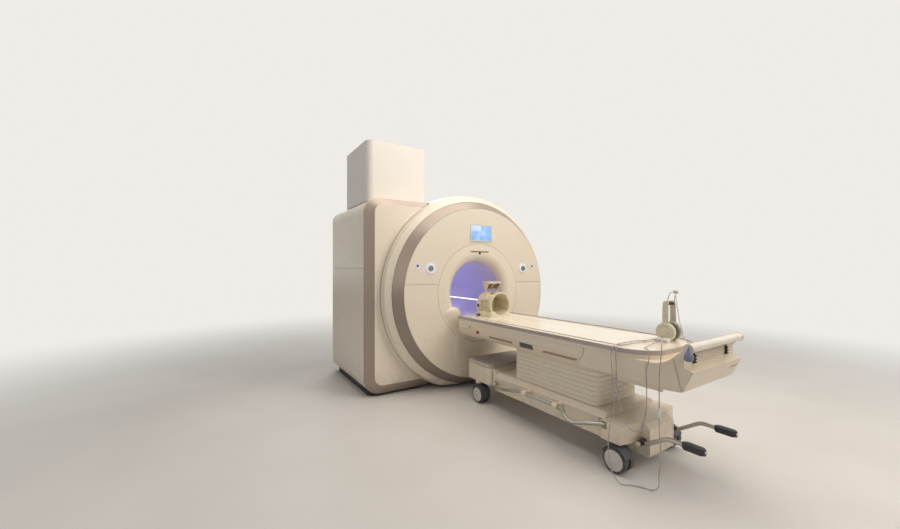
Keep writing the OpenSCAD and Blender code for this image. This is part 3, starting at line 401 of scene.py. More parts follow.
for end, y in AXLES:
    wheel = wheel_look("wheel_" + end, y)
    for side in ("left", "right"):
        LOOKS[f"wheels_{end}_{side}"] = wheel
        LOOKS[f"caster_{end}_{side}"] = caster_paint
for name, look in LOOKS.items():
    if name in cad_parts:
        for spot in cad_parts[name].material_slots:
            spot.material = look.mat


# ---------------------------------------------------------------- shapes
def circle(count, shift=0.0):
    """Angles of count even steps round a circle."""
    return [2 * math.pi * (k + shift) / count for k in range(count)]


def around(at, side, up, radius, steps):
    """Points of a circle in the plane of side and up."""
    return [at + radius * (math.cos(t) * side + math.sin(t) * up) for t in circle(steps)]


def turned(section, a, height):
    """(radius, y) pairs at angle a round the line along Y at a height."""
    return [(r * math.cos(a), y, height + r * math.sin(a)) for r, y in section]


def square_up(value, power):
    """Sine or cosine pushed out towards 1 by a power below 1, for rounded rectangles."""
    return math.copysign(abs(value) ** power, value)


def lathe(bm, profile, origin, axis, steps=48, closed=False):
    """Turns (radius, along) pairs round an axis."""
    axis, origin = Vector(axis).normalized(), Vector(origin)
    side = axis.orthogonal().normalized()
    up = axis.cross(side)
    rings = []
    for radius, along in profile:
        at = origin + axis * along
        if radius < 1e-6:
            rings.append([bm.verts.new(at)] * steps)
            continue
        rings.append([bm.verts.new(p) for p in around(at, side, up, radius, steps)])
    if closed:
        rings.append(rings[0])
    for low, high in zip(rings, rings[1:]):
        for k in range(steps):
            j = (k + 1) % steps
            corners = []
            for v in (low[k], low[j], high[j], high[k]):
                if v not in corners:
                    corners.append(v)
            if len(corners) > 2:
                bm.faces.new(corners)


def block(bm, low, high, bevel=0.002, segments=3):
    """Box between two corners, with rounded edges."""
    corners = bmesh.ops.create_cube(bm, size=1)["verts"]
    for v in corners:
        v.co = [(l + h) / 2 + c * (h - l) for l, h, c in zip(low, high, v.co)]
    edges = list({e for v in corners for e in v.link_edges})
    bmesh.ops.bevel(bm, geom=edges, offset=bevel, segments=segments, profile=0.5, affect="EDGES")


def loft(bm, loops):
    """Skin through closed loops of the same count, with flat ends."""
    rings = [[bm.verts.new(p) for p in loop] for loop in loops]
    for low, high in zip(rings, rings[1:]):
        for k in range(len(low)):
            j = (k + 1) % len(low)
            bm.faces.new((low[k], low[j], high[j], high[k]))
    bm.faces.new(list(reversed(rings[0])))
    bm.faces.new(rings[-1])


def rounded(x0, x1, y0, y1, radius, z):
    """Loop at height z, radius outside the rectangle x0..x1, y0..y1."""
    loop = []
    for cx, cy, start in ((x1, y1, 0), (x0, y1, 90), (x0, y0, 180), (x1, y0, 270)):
        for k in range(9):
            a = math.radians(start + 90 * k / 8)
            loop.append((cx + radius * math.cos(a), cy + radius * math.sin(a), z))
    return loop


def piece(bm, name, look, body, sharp=32):
    """Finished object from a bmesh, with the look's material, riding on a body."""
    bmesh.ops.recalc_face_normals(bm, faces=bm.faces)
    mesh = bpy.data.meshes.new(name)
    bm.to_mesh(mesh)
    bm.free()
    for face in mesh.polygons:
        face.use_smooth = True
    mesh.set_sharp_from_angle(angle=math.radians(sharp))
    mesh.materials.append(look.mat)
    obj = bpy.data.objects.new(name, mesh)
    bpy.context.scene.collection.objects.link(obj)
    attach(obj, body)
    return obj


# ---------------------------------------------------------------- air tubes
# Points along each tube, in millimetres
ROUTES = {
    "tube_loop": [
        (92, -2775, 816), (82, -2775, 816), (40, -2752, 813), (-40, -2720, 813), (-120, -2705, 813),
        (-200, -2705, 813), (-275, -2718, 816), (-330, -2734, 819), (-354, -2738, 806),
        (-365, -2733, 771), (-375, -2744, 698), (-390, -2758, 614), (-410, -2785, 501),
        (-440, -2779, 359), (-460, -2778, 239), (-462, -2790, 120), (-450, -2815, 40),
        (-425, -2845, 5), (-385, -2885, 4), (-352, -2930, 4), (-332, -2980, 5),
        (-340, -3020, 40), (-360, -3035, 117), (-366, -3049, 255), (-370, -3044, 380),
        (-370, -3042, 446), (-370, -3042, 462),
    ],
    "tube_return": [
        (92, -2835, 816), (82, -2835, 816), (30, -2855, 815), (-40, -2888, 828), (-130, -2930, 860),
        (-220, -2975, 890), (-285, -3008, 900), (-325, -3032, 892), (-350, -3046, 868),
        (-364, -3050, 820), (-370, -3045, 734), (-371, -3043, 604), (-370, -3042, 530),
        (-370, -3042, 516),
    ],
    "tube_hanger": [
        (92, -2815, 816), (82, -2815, 816), (10, -2820, 813), (-90, -2840, 813), (-190, -2865, 815),
        (-280, -2905, 824), (-330, -2950, 832), (-352, -2974, 820), (-360, -2978, 790),
        (-365, -2966, 715), (-370, -2969, 616), (-385, -2967, 441), (-391, -2940, 362),
        (-392, -2905, 340), (-390, -2870, 350), (-386, -2835, 390), (-380, -2805, 460),
        (-372, -2778, 570), (-364, -2768, 690), (-354, -2764, 800), (-330, -2760, 821),
        (-260, -2752, 816), (-120, -2755, 813), (0, -2785, 813), (80, -2795, 816), (92, -2795, 816),
    ],
    "bulb_tube": [
        (186, -2856, 1148), (178, -2856, 1148), (164, -2868, 1142), (140, -2884, 1124),
        (60, -2933, 1050), (-40, -2995, 978), (-150, -3064, 928), (-230, -3114, 909),
        (-285, -3150, 906), (-320, -3176, 905.5), (-342, -3190, 906), (-356, -3195, 902),
        (-361, -3196, 896), (-362, -3196, 891), (-362, -3196, 888),
    ],
}
TUBE_RADIUS = 0.003


def tube_curve(name):
    """Curve of one air tube through the points of its route."""
    points = [Vector(p) / 1000 for p in ROUTES[name]]
    data = bpy.data.curves.new(name, "CURVE")
    data.dimensions = "3D"
    data.bevel_depth = TUBE_RADIUS
    data.bevel_resolution = 3
    data.resolution_u = 8
    data.use_fill_caps = True
    line = data.splines.new("BEZIER")
    line.bezier_points.add(len(points) - 1)
    for spot, at in zip(line.bezier_points, points):
        spot.co = at
        spot.handle_left_type = spot.handle_right_type = "AUTO"
    data.materials.append(tube.mat)
    obj = bpy.data.objects.new(name, data)
    bpy.context.scene.collection.objects.link(obj)
    return obj


tubes = {name: tube_curve(name) for name in ROUTES}

# The long loop becomes a mesh on no body: it stays in place, its low end on the floor, while the
# table moves
curve = tubes.pop("tube_loop")
curve.name = "loop_guide"
bpy.context.view_layer.update()
bends = curve.data.splines[0].bezier_points
loop_line = [bends[0].co.copy()]
for here, there in zip(bends, bends[1:]):
    loop_line += interpolate_bezier(here.co, here.handle_right, there.handle_left, there.co, 9)[1:]
shape = curve.evaluated_get(bpy.context.evaluated_depsgraph_get())
loop_mesh = bpy.data.meshes.new_from_object(shape)
bpy.data.objects.remove(curve)
for strand in tubes.values():
    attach(strand, "table")
tubes["tube_loop"] = bpy.data.objects.new("tube_loop", loop_mesh)
bpy.context.scene.collection.objects.link(tubes["tube_loop"])
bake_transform(tubes["tube_loop"])
for strand in tubes.values():
    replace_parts(strand, "air_tubes")

bm = bmesh.new()
lathe(bm, [
    (0, 0.812), (0.010, 0.8128), (0.018, 0.8165), (0.0232, 0.825), (0.0242, 0.836),
    (0.0228, 0.846), (0.0185, 0.857), (0.013, 0.868), (0.0092, 0.876), (0.0078, 0.879),
    (0.0078, 0.8815), (0.0064, 0.882), (0.006, 0.8875), (0.0052, 0.8885), (0, 0.8885),
], (-0.362, -3.196, 0), (0, 0, 1), steps=56)
squeeze = piece(bm, "squeeze_bulb", bulb, "table", sharp=60)

# Push-in connector: the ribbed plug on the tube from the floor, the socket on the tube above
JOIN = (-0.370, -3.042, 0)
GRIP = 0.0094  # radius on which the ribs stand
bm = bmesh.new()
lathe(bm, [
    (0, 0.462), (0.0055, 0.462), (0.0068, 0.464), (0.0068, 0.4725), (0.0098, 0.474),
    (0.0098, 0.4865), (0.0084, 0.4875), (0.0084, 0.4885), (0, 0.4885),
], JOIN, (0, 0, 1), steps=32)
for t in circle(10):
    x, y = JOIN[0] + GRIP * math.cos(t), JOIN[1] + GRIP * math.sin(t)
    block(bm, (x - 0.0011, y - 0.0011, 0.4755), (x + 0.0011, y + 0.0011, 0.4855), 0.0004, 2)
plug = piece(bm, "connector_plug", white, "table")
bm = bmesh.new()
lathe(bm, [
    (0, 0.489), (0.0084, 0.489), (0.0098, 0.4905), (0.0098, 0.504), (0.0068, 0.5055),
    (0.0068, 0.514), (0.0055, 0.516), (0, 0.516),
], JOIN, (0, 0, 1), steps=32)
socket = piece(bm, "connector_socket", white, "table")
for fitting in (squeeze, plug, socket):
    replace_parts(fitting, "tube_fittings")

# ---------------------------------------------------------------- gantry pieces
bm = bmesh.new()
block(bm, (-0.1275, -0.8414, 1.6245), (0.1535, -0.8403, 1.7915), 0.0004, 2)
piece(bm, "screen_glass", screen, "gantry")

# White marks in a star round each knob and button: x, y, z, count, radii, half width
STARS = ((0.640, -0.8395, 1.312, 12, 0.0535, 0.0675, 0.0062),
         (0.790, -0.8455, 1.338, 8, 0.0245, 0.0375, 0.0052))
for side, label in SIDES:
    bm = bmesh.new()
    for x, y, z, count, inner, outer, half in STARS:
        middle = (inner + outer) / 2
        rim = [(inner, -half), (inner, half), (middle, half * 0.8), (outer, 0.0),
               (middle, -half * 0.8)]
        for a in circle(count, 0.5):
            c, d = math.cos(a), math.sin(a)
            loft(bm, [
                [(side * x + grow * (r * c - w * d), y - rise, z + grow * (r * d + w * c))
                 for r, w in rim]
                for rise, grow in ((-0.004, 1.0), (0.0012, 1.0), (0.0020, 0.985))
            ])
    piece(bm, "control_marks_" + label, control, "gantry")

# Skin of the lift in folds, with soft ribs
bm = bmesh.new()
loops = []
for i in range(FOLDS * 12 + 1):
    t = i / 12
    inset = 0.0050 * (1 - math.sin(math.pi * (t % 1.0)) ** 0.5)
    loops.append(rounded(-0.192, 0.192, -2.49, -1.74, 0.06 - inset, LOW + (HIGH - LOW) * t / FOLDS))
loft(bm, loops)
folds = piece(bm, "bellows_skin", bellows, "trolley", sharp=70)
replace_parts(folds, "bellows")
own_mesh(folds)

# Liner of the bore with a lit groove low on each side
bm = bmesh.new()
wall = [(0.358, -0.731), (BORE, -0.731), (BORE, 0.750), (0.358, 0.750)]
flange = [(0.357, -0.679), (0.385, -0.679), (0.385, -0.667), (0.357, -0.667)]
for profile in (wall, flange):
    lathe(bm, profile, (0, 0, AXIS), (0, 1, 0), steps=128, closed=True)
tunnel = piece(bm, "liner_tube", liner, "gantry")
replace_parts(tunnel, "bore_liner")
STRIP_DROP = math.radians(22.5)


def strip(name, look, inner, outer, half, y0, y1):
    """Bar along the bore on both sides, at the angle of the lit groove."""
    bm = bmesh.new()
    for side in (-1, 1):
        made = bmesh.ops.create_cube(bm, size=1)["verts"]
        for v in made:
            r = inner if v.co.x < 0 else outer
            a = STRIP_DROP + v.co.z * 2 * half / BORE
            v.co = (side * r * math.cos(a), y0 if v.co.y < 0 else y1, AXIS - r * math.sin(a))
        edges = list({e for v in made for e in v.link_edges})
        bmesh.ops.bevel(bm, geom=edges, offset=0.0012, segments=2, profile=0.5, affect="EDGES")
    return piece(bm, name, look, "gantry")


lit = strip("light_tubes", light, 0.3462, 0.3505, 0.0055, -0.700, 0.705)
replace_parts(lit, "bore_lights")
strip("strip_channel", liner, 0.3476, 0.3512, 0.0115, -0.706, 0.711)

# Recesses, as strips of painted shade between pale lips of painted highlight, and the latch cover
# along the seen side of the table
recess = plastic("recess_shade", "#a98f73", 0.6)
# The pale lips are a painted highlight on the edges of the recesses; the latch cover has the same
# pale look
lining = plastic("recess_lip", "#f0e6d6", 0.35, coat=0.2)
KNEE = 0.648  # height at which the side of the table turns inwards
LIP = 0.004  # width of the lips above and below a recess


def side_face(z):
    """x of the side of the table at height z, on its seen side."""
    if z > KNEE:
        return -0.332 + 0.015 * (0.700 - z) / 0.052
    return -0.317 + 0.038 * (KNEE - z) / 0.038


def bar_loops(rows, ends, foot, lean):
    """Bar on the side of the table from (height, depth) rows; its ends lean from foot up."""
    return [[(side_face(z) + out, y - lean * (z - foot), z) for z, out in rows] for y in ends]


# Name, ends, lower and upper edge, and how steeply the ends lean
RECESSES = (("front", -1.735, -1.415, 0.652, 0.672, 0.0),
            ("rear", -2.405, -2.080, 0.645, 0.666, 0.036 / 0.021))
for name, y0, y1, z0, z1, lean in RECESSES:
    bm = bmesh.new()
    rows = [(z0, -0.0016), (z0, 0.003), (z1, 0.003), (z1, -0.0016)]
    loft(bm, bar_loops(rows, (y0, y1), z0, lean))
    piece(bm, "recess_" + name, recess, "table")
    bm = bmesh.new()
    for low, high in ((z0 - LIP, z0), (z1, z1 + LIP)):
        rows = [(low, 0.002), (low, -0.0022), (high, -0.0022), (high, 0.002)]
        loft(bm, bar_loops(rows, (y0 - LIP, y1 + LIP), z0, lean))
    piece(bm, "recess_lips_" + name, lining, "table")
bm = bmesh.new()
block(bm, (-0.3395, -1.128, 0.7275), (-0.3300, -0.912, 0.7475), 0.003)
block(bm, (-0.3375, -1.100, 0.7005), (-0.3300, -0.918, 0.7265), 0.003)
piece(bm, "latch_cover", lining, "table")

# Low shoulders that close the bore mouth beside the table: x, top, front, back, bottom
HUMP = [
    (0.262, 0.842, -0.848, -0.745, 0.622), (0.275, 0.858, -0.858, -0.745, 0.616),
    (0.300, 0.877, -0.866, -0.748, 0.616), (0.325, 0.890, -0.870, -0.752, 0.622),
    (0.350, 0.897, -0.871, -0.760, 0.630), (0.375, 0.897, -0.870, -0.772, 0.645),
    (0.400, 0.889, -0.866, -0.788, 0.668), (0.425, 0.872, -0.859, -0.802, 0.697),
    (0.448, 0.846, -0.848, -0.815, 0.728), (0.462, 0.818, -0.838, -0.820, 0.757),
]
SPINE = -0.826  # y of the line between front and back
for side, label in SIDES:
    bm = bmesh.new()
    loops = []
    for x, top, y_front, y_back, low in HUMP:
        loop = []
        for a in circle(32):
            c, d = math.cos(a), math.sin(a)
            z = (low + top) / 2 + (top - low) / 2 * square_up(c, 0.9)
            way = y_back - SPINE
            if d < 0:
                way = (y_front - SPINE) * (0.1 + 0.9 * ((z - low) / (top - low)) ** 1.2)
            loop.append((side * x, SPINE + way * abs(d) ** 0.75, z))
        loops.append(loop)
    loft(bm, loops)
    shoulder = piece(bm, "mouth_shoulder_" + label, panel, "gantry", sharp=60)
    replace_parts(shoulder, "entry_shoulders")

# Fillet between the panel of the box and the round cover, as (radius, y) pairs
FILLET = [(1.152, -0.6064), (1.138, -0.6076), (1.127, -0.6115), (1.1185, -0.619),
          (1.1128, -0.630), (1.1095, -0.6465), (1.104, -0.6465), (1.108, -0.606)]
ROOT_R, ROOT_Y = 1.1105, -0.6055  # where the fillet shrinks to at its ends
ARC, FADE = 72, 9  # steps along the fillet, and steps over which it shrinks

bm = bmesh.new()
loops = []
for k in range(ARC + 1):
    full = min(1.0, k / FADE, (ARC - k) / FADE) ** 0.6
    thin = [(ROOT_R + (r - ROOT_R) * full, ROOT_Y + (y - ROOT_Y) * full) for r, y in FILLET]
    loops.append(turned(thin, math.radians(124.0 + 111.6 * k / ARC), AXIS))
loft(bm, loops)
piece(bm, "box_fillet", smooth, "gantry", sharp=50)

# Shadow line between the fillet and the round cover
SEAM = [(1.1070, -0.6450), (1.1112, -0.6450), (1.1112, -0.6500), (1.1070, -0.6500)]
seam_shade = plastic("seam_shade", "#8d7a66", 0.7)
bm = bmesh.new()
loft(bm, [turned(SEAM, math.radians(125.5 + 108.6 * k / ARC), AXIS) for k in range(ARC + 1)])
piece(bm, "cover_seam", seam_shade, "gantry")

# Skirt that carries the side box and its satin frame down to just above the floor
DROP = 0.034
BOX_X, WALL = -1.249, 0.034  # outer face of the skirt, and how thick its side is
CORNER_X = BOX_X + COVER_R
BEND, REAR = 0.610, 0.090  # where the rear corner of the box starts, and its radius
bm = bmesh.new()
loops = []
outer, inner = [(BOX_X, 0.290)], [(BOX_X + WALL, 0.290)]
for n in range(17):
    a = math.radians(180 + 90 * n / 16)
    c, s = math.cos(a), math.sin(a)
    outer.append((CORNER_X + COVER_R * c, COVER_Z - DROP + COVER_R * s))
    inner.append((CORNER_X + (COVER_R - WALL) * c, COVER_Z - DROP + 0.120 * s))
outer.append((-0.520, 0.060 - DROP))
inner.append((-0.520, 0.110 - DROP))
for k in range(25):
    # Along the side in 8 steps, then round the rear corner in 16
    y = -0.550 + 1.160 * k / 8 if k < 9 else BEND + 0.088 * (k - 8) / 16
    cut = BOX_X + REAR - math.sqrt(max(0.0, REAR ** 2 - max(0.0, y - BEND) ** 2))
    loops.append([(max(x, cut), y, z) for x, z in outer]
                 + [(max(x, cut + WALL), y, z) for x, z in inner[::-1]])
loft(bm, loops)
piece(bm, "box_skirt", cream, "gantry", sharp=50)
bm = bmesh.new()
loops = []
for n in range(22):
    # Round the corner in 18 steps, then along the bottom in 3
    a = math.radians(180 + 90 * min(n, 18) / 18)
    c, s = math.cos(a), math.sin(a)
    along = max(0, n - 18) / 3
    tuck = 0.0015 * max(0.0, 1 - n / 6)
    front = (-1.055 + 0.095 * c + along * 0.510, 0.210 + 0.095 * s)
    back = (-1.080 + (0.1695 - tuck) * c + along * 0.565, COVER_Z + (COVER_R - tuck) * s)
    deep_in = (-1.080 + 0.140 * c + along * 0.565, COVER_Z + 0.140 * s)
    loops.append([
        (front[0], -0.6056 + tuck, front[1] + 0.002), (front[0], -0.6056 + tuck, front[1] - DROP),
        (back[0], -0.5625 + tuck, back[1] - DROP), (back[0], -0.545, back[1] - DROP),
        (deep_in[0], -0.545, deep_in[1] - DROP + 0.010), (front[0], -0.585, front[1] + 0.002),
    ])
loft(bm, loops)
piece(bm, "box_trim_skirt", band, "gantry", sharp=40)

# Floor slabs with rounded corners, set back under the covers: x, y, top, corner radius
SLABS = ((-1.182, -0.570, -0.548, 0.655, 0.060, 0.10), (-0.580, -0.420, -0.500, 0.600, 0.026, 0.01),
         (-0.430, 0.430, -0.560, 0.680, 0.060, 0.05))
bm = bmesh.new()
for x0, x1, y0, y1, top, r in SLABS:
    levels = ((0.0, 0.002), (0.003, 0.0), (top - 0.003, 0.0), (top, 0.003))
    loft(bm, [rounded(x0 + r, x1 - r, y0 + r, y1 - r, r - inset, z) for z, inset in levels])
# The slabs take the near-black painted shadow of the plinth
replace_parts(piece(bm, "floor_slabs", shadow_plinth, "gantry", sharp=40), "base_plinth")

# ---------------------------------------------------------------- casters
OUTER_CAP = [(0, 0.0042), (0.011, 0.0042), (0.0125, 0.0026), (0.046, 0.0018), (0.048, 0.003),
             (0.060, 0.0026), (0.0635, 0.0012), (0.0642, -0.001)]
INNER_CAP = [(0.0085, 0.0012), (0.058, 0.0014), (0.0635, 0.0008), (0.0642, -0.001)]
CORNERS = [(f"{end}_{label}", side * 0.3, y) for end, y in AXLES for side, label in SIDES]
for corner, x, y in CORNERS:
    bm = bmesh.new()
    for side in (-1, 1):
        lathe(bm, OUTER_CAP, (x + side * 0.052, y, WHEEL), (side, 0, 0), steps=64)
        lathe(bm, INNER_CAP, (x + side * 0.012, y, WHEEL), (-side, 0, 0), steps=64)
    piece(bm, "hub_caps_" + corner, hub_grey, "wheels_" + corner)

# ---------------------------------------------------------------- pedals
def pad_loops(x):
    """Rubber pad over the end of a pedal: rounded in plan, with grip ribs across its top."""
    loops = []
    for i in range(45):
        t = i / 44
        y = -3.2115 + 0.1185 * t
        half = max(0.0275 * (1 - abs(2 * t - 1) ** 5) ** 0.5, 0.012)
        rib = 0.0016 * (0.5 + 0.5 * math.cos(2 * math.pi * t * 9)) if 0.08 < t < 0.72 else 0.0
        low, high = 0.2685, 0.3052 + rib
        loop = []
        for a in circle(24):
            c, s = math.cos(a), math.sin(a)
            z = (low + high) / 2 + (high - low) / 2 * square_up(s, 0.55)
            loop.append((x + half * square_up(c, 0.45), y, z))
        loops.append(loop)
    return loops


RIVET = [(0, 0.0028), (0.004, 0.0026), (0.0062, 0.0012), (0.0066, 0)]
rubber = plastic("pad_rubber", "#3a393c", 0.62, grain=350, depth=0.0008)
for side, label in SIDES:
    bm = bmesh.new()
    loft(bm, pad_loops(side * 0.208))
    piece(bm, "pedal_pad_" + label, rubber, "pedal_" + label, sharp=50)
    bm = bmesh.new()
    lathe(bm, RIVET, (side * 0.208, -3.2112, 0.287), (0, -1, 0), steps=28)
    piece(bm, "pedal_plug_" + label, chrome, "pedal_" + label)

# Round end of each foot bar at the front
KNOB = [(0, 0.019), (0.012, 0.019), (0.019, 0.015), (0.0225, 0.007), (0.0225, -0.010),
        (0.018, -0.018)]
for side, label in SIDES:
    bm = bmesh.new()
    at, way = (side * 0.333, -1.512, 0.243), (side, -0.15, 0)
    lathe(bm, KNOB, at, way, steps=40)
    lathe(bm, [(0, 0.0205), (0.008, 0.0205), (0.009, 0.0185)], at, way, steps=28)
    piece(bm, "bar_knob_" + label, steel, "bar_" + label)

# ---------------------------------------------------------------- foot end
for side, label in SIDES:
    bm = bmesh.new()
    x = side * 0.207
    block(bm, (x - 0.012, -3.1535, 0.772), (x + 0.012, -3.149, 0.832), 0.0015)
    for k in range(3):
        z = 0.7785 + 0.018 * k
        block(bm, (x - 0.009, -3.166, z), (x + 0.009, -3.152, z + 0.007), 0.0012)
    block(bm, (x - 0.004, -3.161, 0.777), (x + 0.004, -3.152, 0.826), 0.001)
    piece(bm, "tray_clip_" + label, black, "table")

# ---------------------------------------------------------------- headset
def wire(bm, points, radius):
    """Round bar swept through points."""
    points = [Vector(p) for p in points]
    loops = []
    for i, at in enumerate(points):
        way = (points[min(i + 1, len(points) - 1)] - points[max(i - 1, 0)]).normalized()
        side = way.cross(Vector((0, 1, 0)) if abs(way.y) < 0.9 else Vector((1, 0, 0))).normalized()
        loops.append(around(at, side, way.cross(side), radius, 10))
    loft(bm, loops)


HEAD_X, HEAD_Y, HEAD_Z = 0.200, -2.809, 0.869  # middle between the ear cups
CUP_REACH = 0.0655  # from there to the outside of a cup
CROWN_Z = 1.036  # centre of the headband's bow
CUP = [(0.030, 0.034), (0.058, 0.034), (0.0645, 0.030), (0.066, 0.022), (0.0655, 0.008),
       (0.062, 0.003), (0.057, 0.0012), (0.055, -0.0006), (0.047, -0.0014), (0.045, 0.0004),
       (0.031, 0.0004), (0.029, -0.0016), (0.016, -0.0022), (0.014, -0.0004), (0, -0.0004)]
PAD = [(0.048 + 0.0125 * math.cos(a), 0.038 + 0.009 * math.sin(a)) for a in circle(16)]
bm = bmesh.new()
for side in (-1, 1):
    lathe(bm, CUP, (HEAD_X + side * CUP_REACH, HEAD_Y, HEAD_Z), (-side, 0, 0), steps=64)
    arm = HEAD_X + side * 0.052
    loops = []
    for z, half, thick in ((0.915, 0.023, 0.004), (0.945, 0.0215, 0.0045), (0.99, 0.0205, 0.0045),
                           (1.04, 0.0205, 0.0045), (1.072, 0.0190, 0.004), (1.084, 0.0130, 0.003)):
        x = arm - side * 0.10 * max(0.0, z - 1.0) ** 1.2
        loops.append([
            (x + thick * square_up(math.cos(t), 0.5),
             HEAD_Y + half * square_up(math.sin(t), 0.6), z)
            for t in circle(24, 0.5)
        ])
    loft(bm, loops)
    stalk = ((0.006, -0.012, 1.07), (0.006, -0.016, 1.11), (0.009, -0.024, 1.138),
             (0.016, -0.033, 1.148))
    bail = [(arm - side * x, HEAD_Y + y, z) for x, y, z in stalk]
    wire(bm, bail + [(HEAD_X - 0.001, HEAD_Y - 0.044, 1.149)], 0.0032)
bow = [math.radians(18 + 144 * k / 22) for k in range(23)]
for y in (HEAD_Y - 0.004, HEAD_Y + 0.004):
    wire(bm, [(HEAD_X + 0.048 * math.cos(a), y, CROWN_Z + 0.048 * math.sin(a)) for a in bow], 0.004)
block(bm, (0.186, -2.870, 1.137), (0.206, -2.842, 1.161), 0.003)
headband = piece(bm, "headset_shell", headset, "table")
bm = bmesh.new()
block(bm, (0.092, -2.852, 0.803), (0.138, -2.760, 0.829), 0.005)
SPOUT = [(0.0034, 0.004), (0.0056, 0.004), (0.0062, 0.0025), (0.0062, -0.002)]
for y in (-2.835, -2.815, -2.795, -2.775):
    lathe(bm, SPOUT, (0.092, y, 0.816), (-1, 0, 0), steps=20)
junction = piece(bm, "tube_block", white, "table")
for side, label in ((-1, "near"), (1, "far")):
    bm = bmesh.new()
    at = (HEAD_X + side * CUP_REACH, HEAD_Y, HEAD_Z)
    lathe(bm, PAD, at, (-side, 0, 0), steps=48, closed=True)
    pad = piece(bm, "ear_pad_" + label, foam, "table", sharp=80)
bm = bmesh.new()
loops = []
for t in range(11):
    a = math.radians(35 + 11 * t)
    nx, nz = math.cos(a), math.sin(a)
    x, z = HEAD_X + 0.039 * nx, CROWN_Z + 0.039 * nz
    loops.append([
        (x + nx * 0.006 * math.cos(u), HEAD_Y + 0.020 * math.sin(u), z + nz * 0.006 * math.cos(u))
        for u in circle(16)
    ])
loft(bm, loops)
crown = piece(bm, "crown_pad", black, "table", sharp=60)
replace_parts(headband, "headset")
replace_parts(junction, "headset")

# ---------------------------------------------------------------- head coil
pane = Look("mirror_pane", "#6b4a33", 0.06, Coat_Weight=0.8, Coat_Roughness=0.03)
pane.set("Base Color", pane.mix(pane.span(pane.noise(18, 3), 0.3, 0.7), "#7a563b", "#59402f"))
pane.bump(pane.noise(60, 2), 0.04, 0.0003)
bm = bmesh.new()
for x in (-0.072, 0.008):
    block(bm, (x + 0.0005, -1.0855, 1.1605), (x + 0.0635, -1.0065, 1.1645), 0.0008)
piece(bm, "mirror_plates", mirror, "mirror")
bm = bmesh.new()
CHEEK = [(-1.096, 1.159), (-1.004, 1.159), (-1.012, 1.120), (-1.030, 1.086), (-1.062, 1.086),
         (-1.083, 1.120)]
RIB = [(-1.096, 1.159), (-1.088, 1.159), (-1.012, 1.090), (-1.020, 1.084)]
for x0, x1, section in ((-0.0855, -0.0795, CHEEK), (-0.004, 0.004, RIB), (0.0795, 0.0855, CHEEK)):
    loft(bm, [[(x, y, z) for y, z in section] for x in (x0, x1)])
block(bm, (-0.0855, -1.0975, 1.150), (0.0855, -1.0925, 1.1645), 0.0012)
block(bm, (-0.0800, -1.0235, 1.0835), (0.0800, -1.0135, 1.0900), 0.0012)
piece(bm, "mirror_cradle", coil, "mirror")
bm = bmesh.new()
PANE = [(-1.0925, 1.156), (-1.0895, 1.158), (-1.0165, 1.0905), (-1.0195, 1.088)]
for x0, x1 in ((-0.0795, -0.004), (0.004, 0.0795)):
    loft(bm, [[(x, y, z) for y, z in PANE] for x in (x0, x1)])
piece(bm, "mirror_panes", pane, "mirror")

# Padding inside the coil, behind its side windows
COIL_Z = 0.930  # height of the coil's axis
FOAM = [(0.1175, -1.190), (0.1175, -0.977), (0.113, -0.9755), (0.1105, -0.979), (0.1105, -1.187),
        (0.113, -1.1915)]
bm = bmesh.new()
for start, end in ((-22, 52), (128, 202)):
    angles = [math.radians(start + (end - start) * k / 18) for k in range(19)]
    loft(bm, [turned(FOAM, a, COIL_Z) for a in angles])
padding = plastic("coil_padding", "#d8cdb0", 0.85, grain=240, depth=0.001)
piece(bm, "coil_padding", padding, "tabletop", sharp=60)

# Rounded head end of the coil, with its latch knob and plug
bm = bmesh.new()
loops = []
for i in range(15):
    t = i / 14
    y = -0.962 + 0.098 * t
    grow = math.sqrt(max(0.0, 1 - (0.985 * t) ** 2.6))
    half, top, low = 0.112 * grow + 0.004, 0.905 + 0.106 * grow, 0.813 + 0.030 * (1 - grow)
    loops.append([
        (half * square_up(math.cos(a), 0.75), y,
         (top + low) / 2 + (top - low) / 2 * square_up(math.sin(a), 0.75))
        for a in circle(40)
    ])
loft(bm, loops)
piece(bm, "coil_nose", coil, "tabletop", sharp=50)
bm = bmesh.new()
LATCH = [(0, 0.020), (0.008, 0.020), (0.0125, 0.016), (0.0145, 0.008), (0.0145, -0.030)]
lathe(bm, LATCH, (-0.128, -0.984, 0.915), (-1, 0, 0.15), steps=36)
block(bm, (-0.155, -1.020, 0.8105), (-0.128, -0.978, 0.8245), 0.004)
piece(bm, "coil_latch", black, "tabletop", sharp=50)

# ---------------------------------------------------------------- room and light
# The floor fades into the colour of the background, but only to the camera
bpy.ops.mesh.primitive_plane_add(size=60, location=(0, 0, -0.001))
floor = bpy.context.object
floor.name = "floor"
ground = Look("floor_pale", "#d9d6d0", 0.6)
clouded = ground.span(ground.noise(0.8, 4), 0.3, 0.7)
ground.set("Base Color", ground.mix(clouded, "#dbd8d3", "#d3d0ca"))
gap = ground.node("ShaderNodeVectorMath", operation="DISTANCE")
ground.put(gap.inputs[0], ground.place)
gap.inputs[1].default_value = (0.0, -1.0, 0.0)
far = ground.span(gap.outputs["Value"], 2.9, 8.0)
seen = ground.math("MULTIPLY", far, ground.node("ShaderNodeLightPath").outputs["Is Camera Ray"])
haze = ground.node("ShaderNodeEmission")
haze.inputs["Color"].default_value = tint(PAPER)
blend = ground.node("ShaderNodeMixShader")
surface = next(n for n in ground.tree.nodes if n.type == "OUTPUT_MATERIAL")
ground.put(blend.inputs[0], seen)
ground.put(blend.inputs[1], ground.shader.outputs[0])
ground.put(blend.inputs[2], haze.outputs[0])
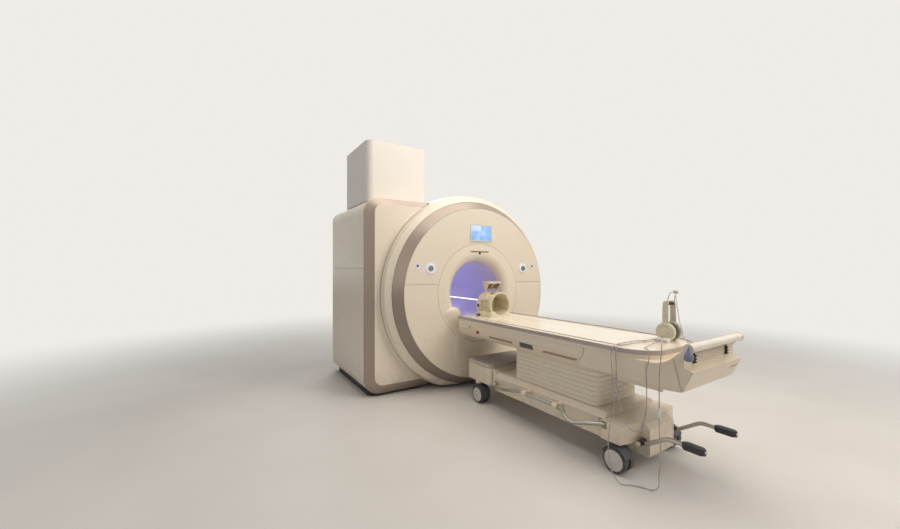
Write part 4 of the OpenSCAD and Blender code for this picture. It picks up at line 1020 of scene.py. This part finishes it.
ground.put(surface.inputs[0], blend.outputs[0])
floor.data.materials.append(ground.mat)

# The camera and reflections see the background, everything else a dim, even light
world = bpy.data.worlds.new("world")
bpy.context.scene.world = world
world.use_nodes = True
tree = world.node_tree
tree.nodes.clear()
out = tree.nodes.new("ShaderNodeOutputWorld")
both = tree.nodes.new("ShaderNodeMixShader")
ambient = tree.nodes.new("ShaderNodeBackground")
backdrop = tree.nodes.new("ShaderNodeBackground")
path = tree.nodes.new("ShaderNodeLightPath")
shows = tree.nodes.new("ShaderNodeMath")
shows.operation = "MAXIMUM"
ambient.inputs[0].default_value = (0.95, 0.95, 1.0, 1)
ambient.inputs[1].default_value = 0.27
backdrop.inputs[0].default_value = tint(PAPER)
backdrop.inputs[1].default_value = 1.0
tree.links.new(path.outputs["Is Camera Ray"], shows.inputs[0])
tree.links.new(path.outputs["Is Glossy Ray"], shows.inputs[1])
tree.links.new(shows.outputs[0], both.inputs[0])
tree.links.new(ambient.outputs[0], both.inputs[1])
tree.links.new(backdrop.outputs[0], both.inputs[2])
tree.links.new(both.outputs[0], out.inputs[0])


def lamp(name, at, aim, size, power, color):
    """Square area lamp at a place, aimed at a point."""
    data = bpy.data.lights.new(name, "AREA")
    data.shape = "SQUARE"
    data.size = size
    data.energy = power
    data.color = color
    obj = bpy.data.objects.new(name, data)
    obj.location = at
    obj.rotation_euler = (Vector(aim) - Vector(at)).to_track_quat("-Z", "Y").to_euler()
    bpy.context.scene.collection.objects.link(obj)


WARM = (1.0, 0.93, 0.84)
lamp("ceiling", (0.2, -2.2, 5.0), (0.0, -1.4, 0.6), 4.5, 165, WARM)
lamp("key", (2.6, -6.2, 4.2), (0.0, -1.0, 0.9), 3.0, 130, WARM)
lamp("side", (-5.5, -2.5, 3.0), (-0.6, -1.0, 0.8), 3.0, 12, (1.0, 0.96, 0.9))
lamp("rear", (1.5, 5.2, 4.0), (0.0, 0.4, 1.0), 3.5, 90, (1.0, 0.97, 0.93))

bpy.context.scene.view_settings.view_transform = "Standard"
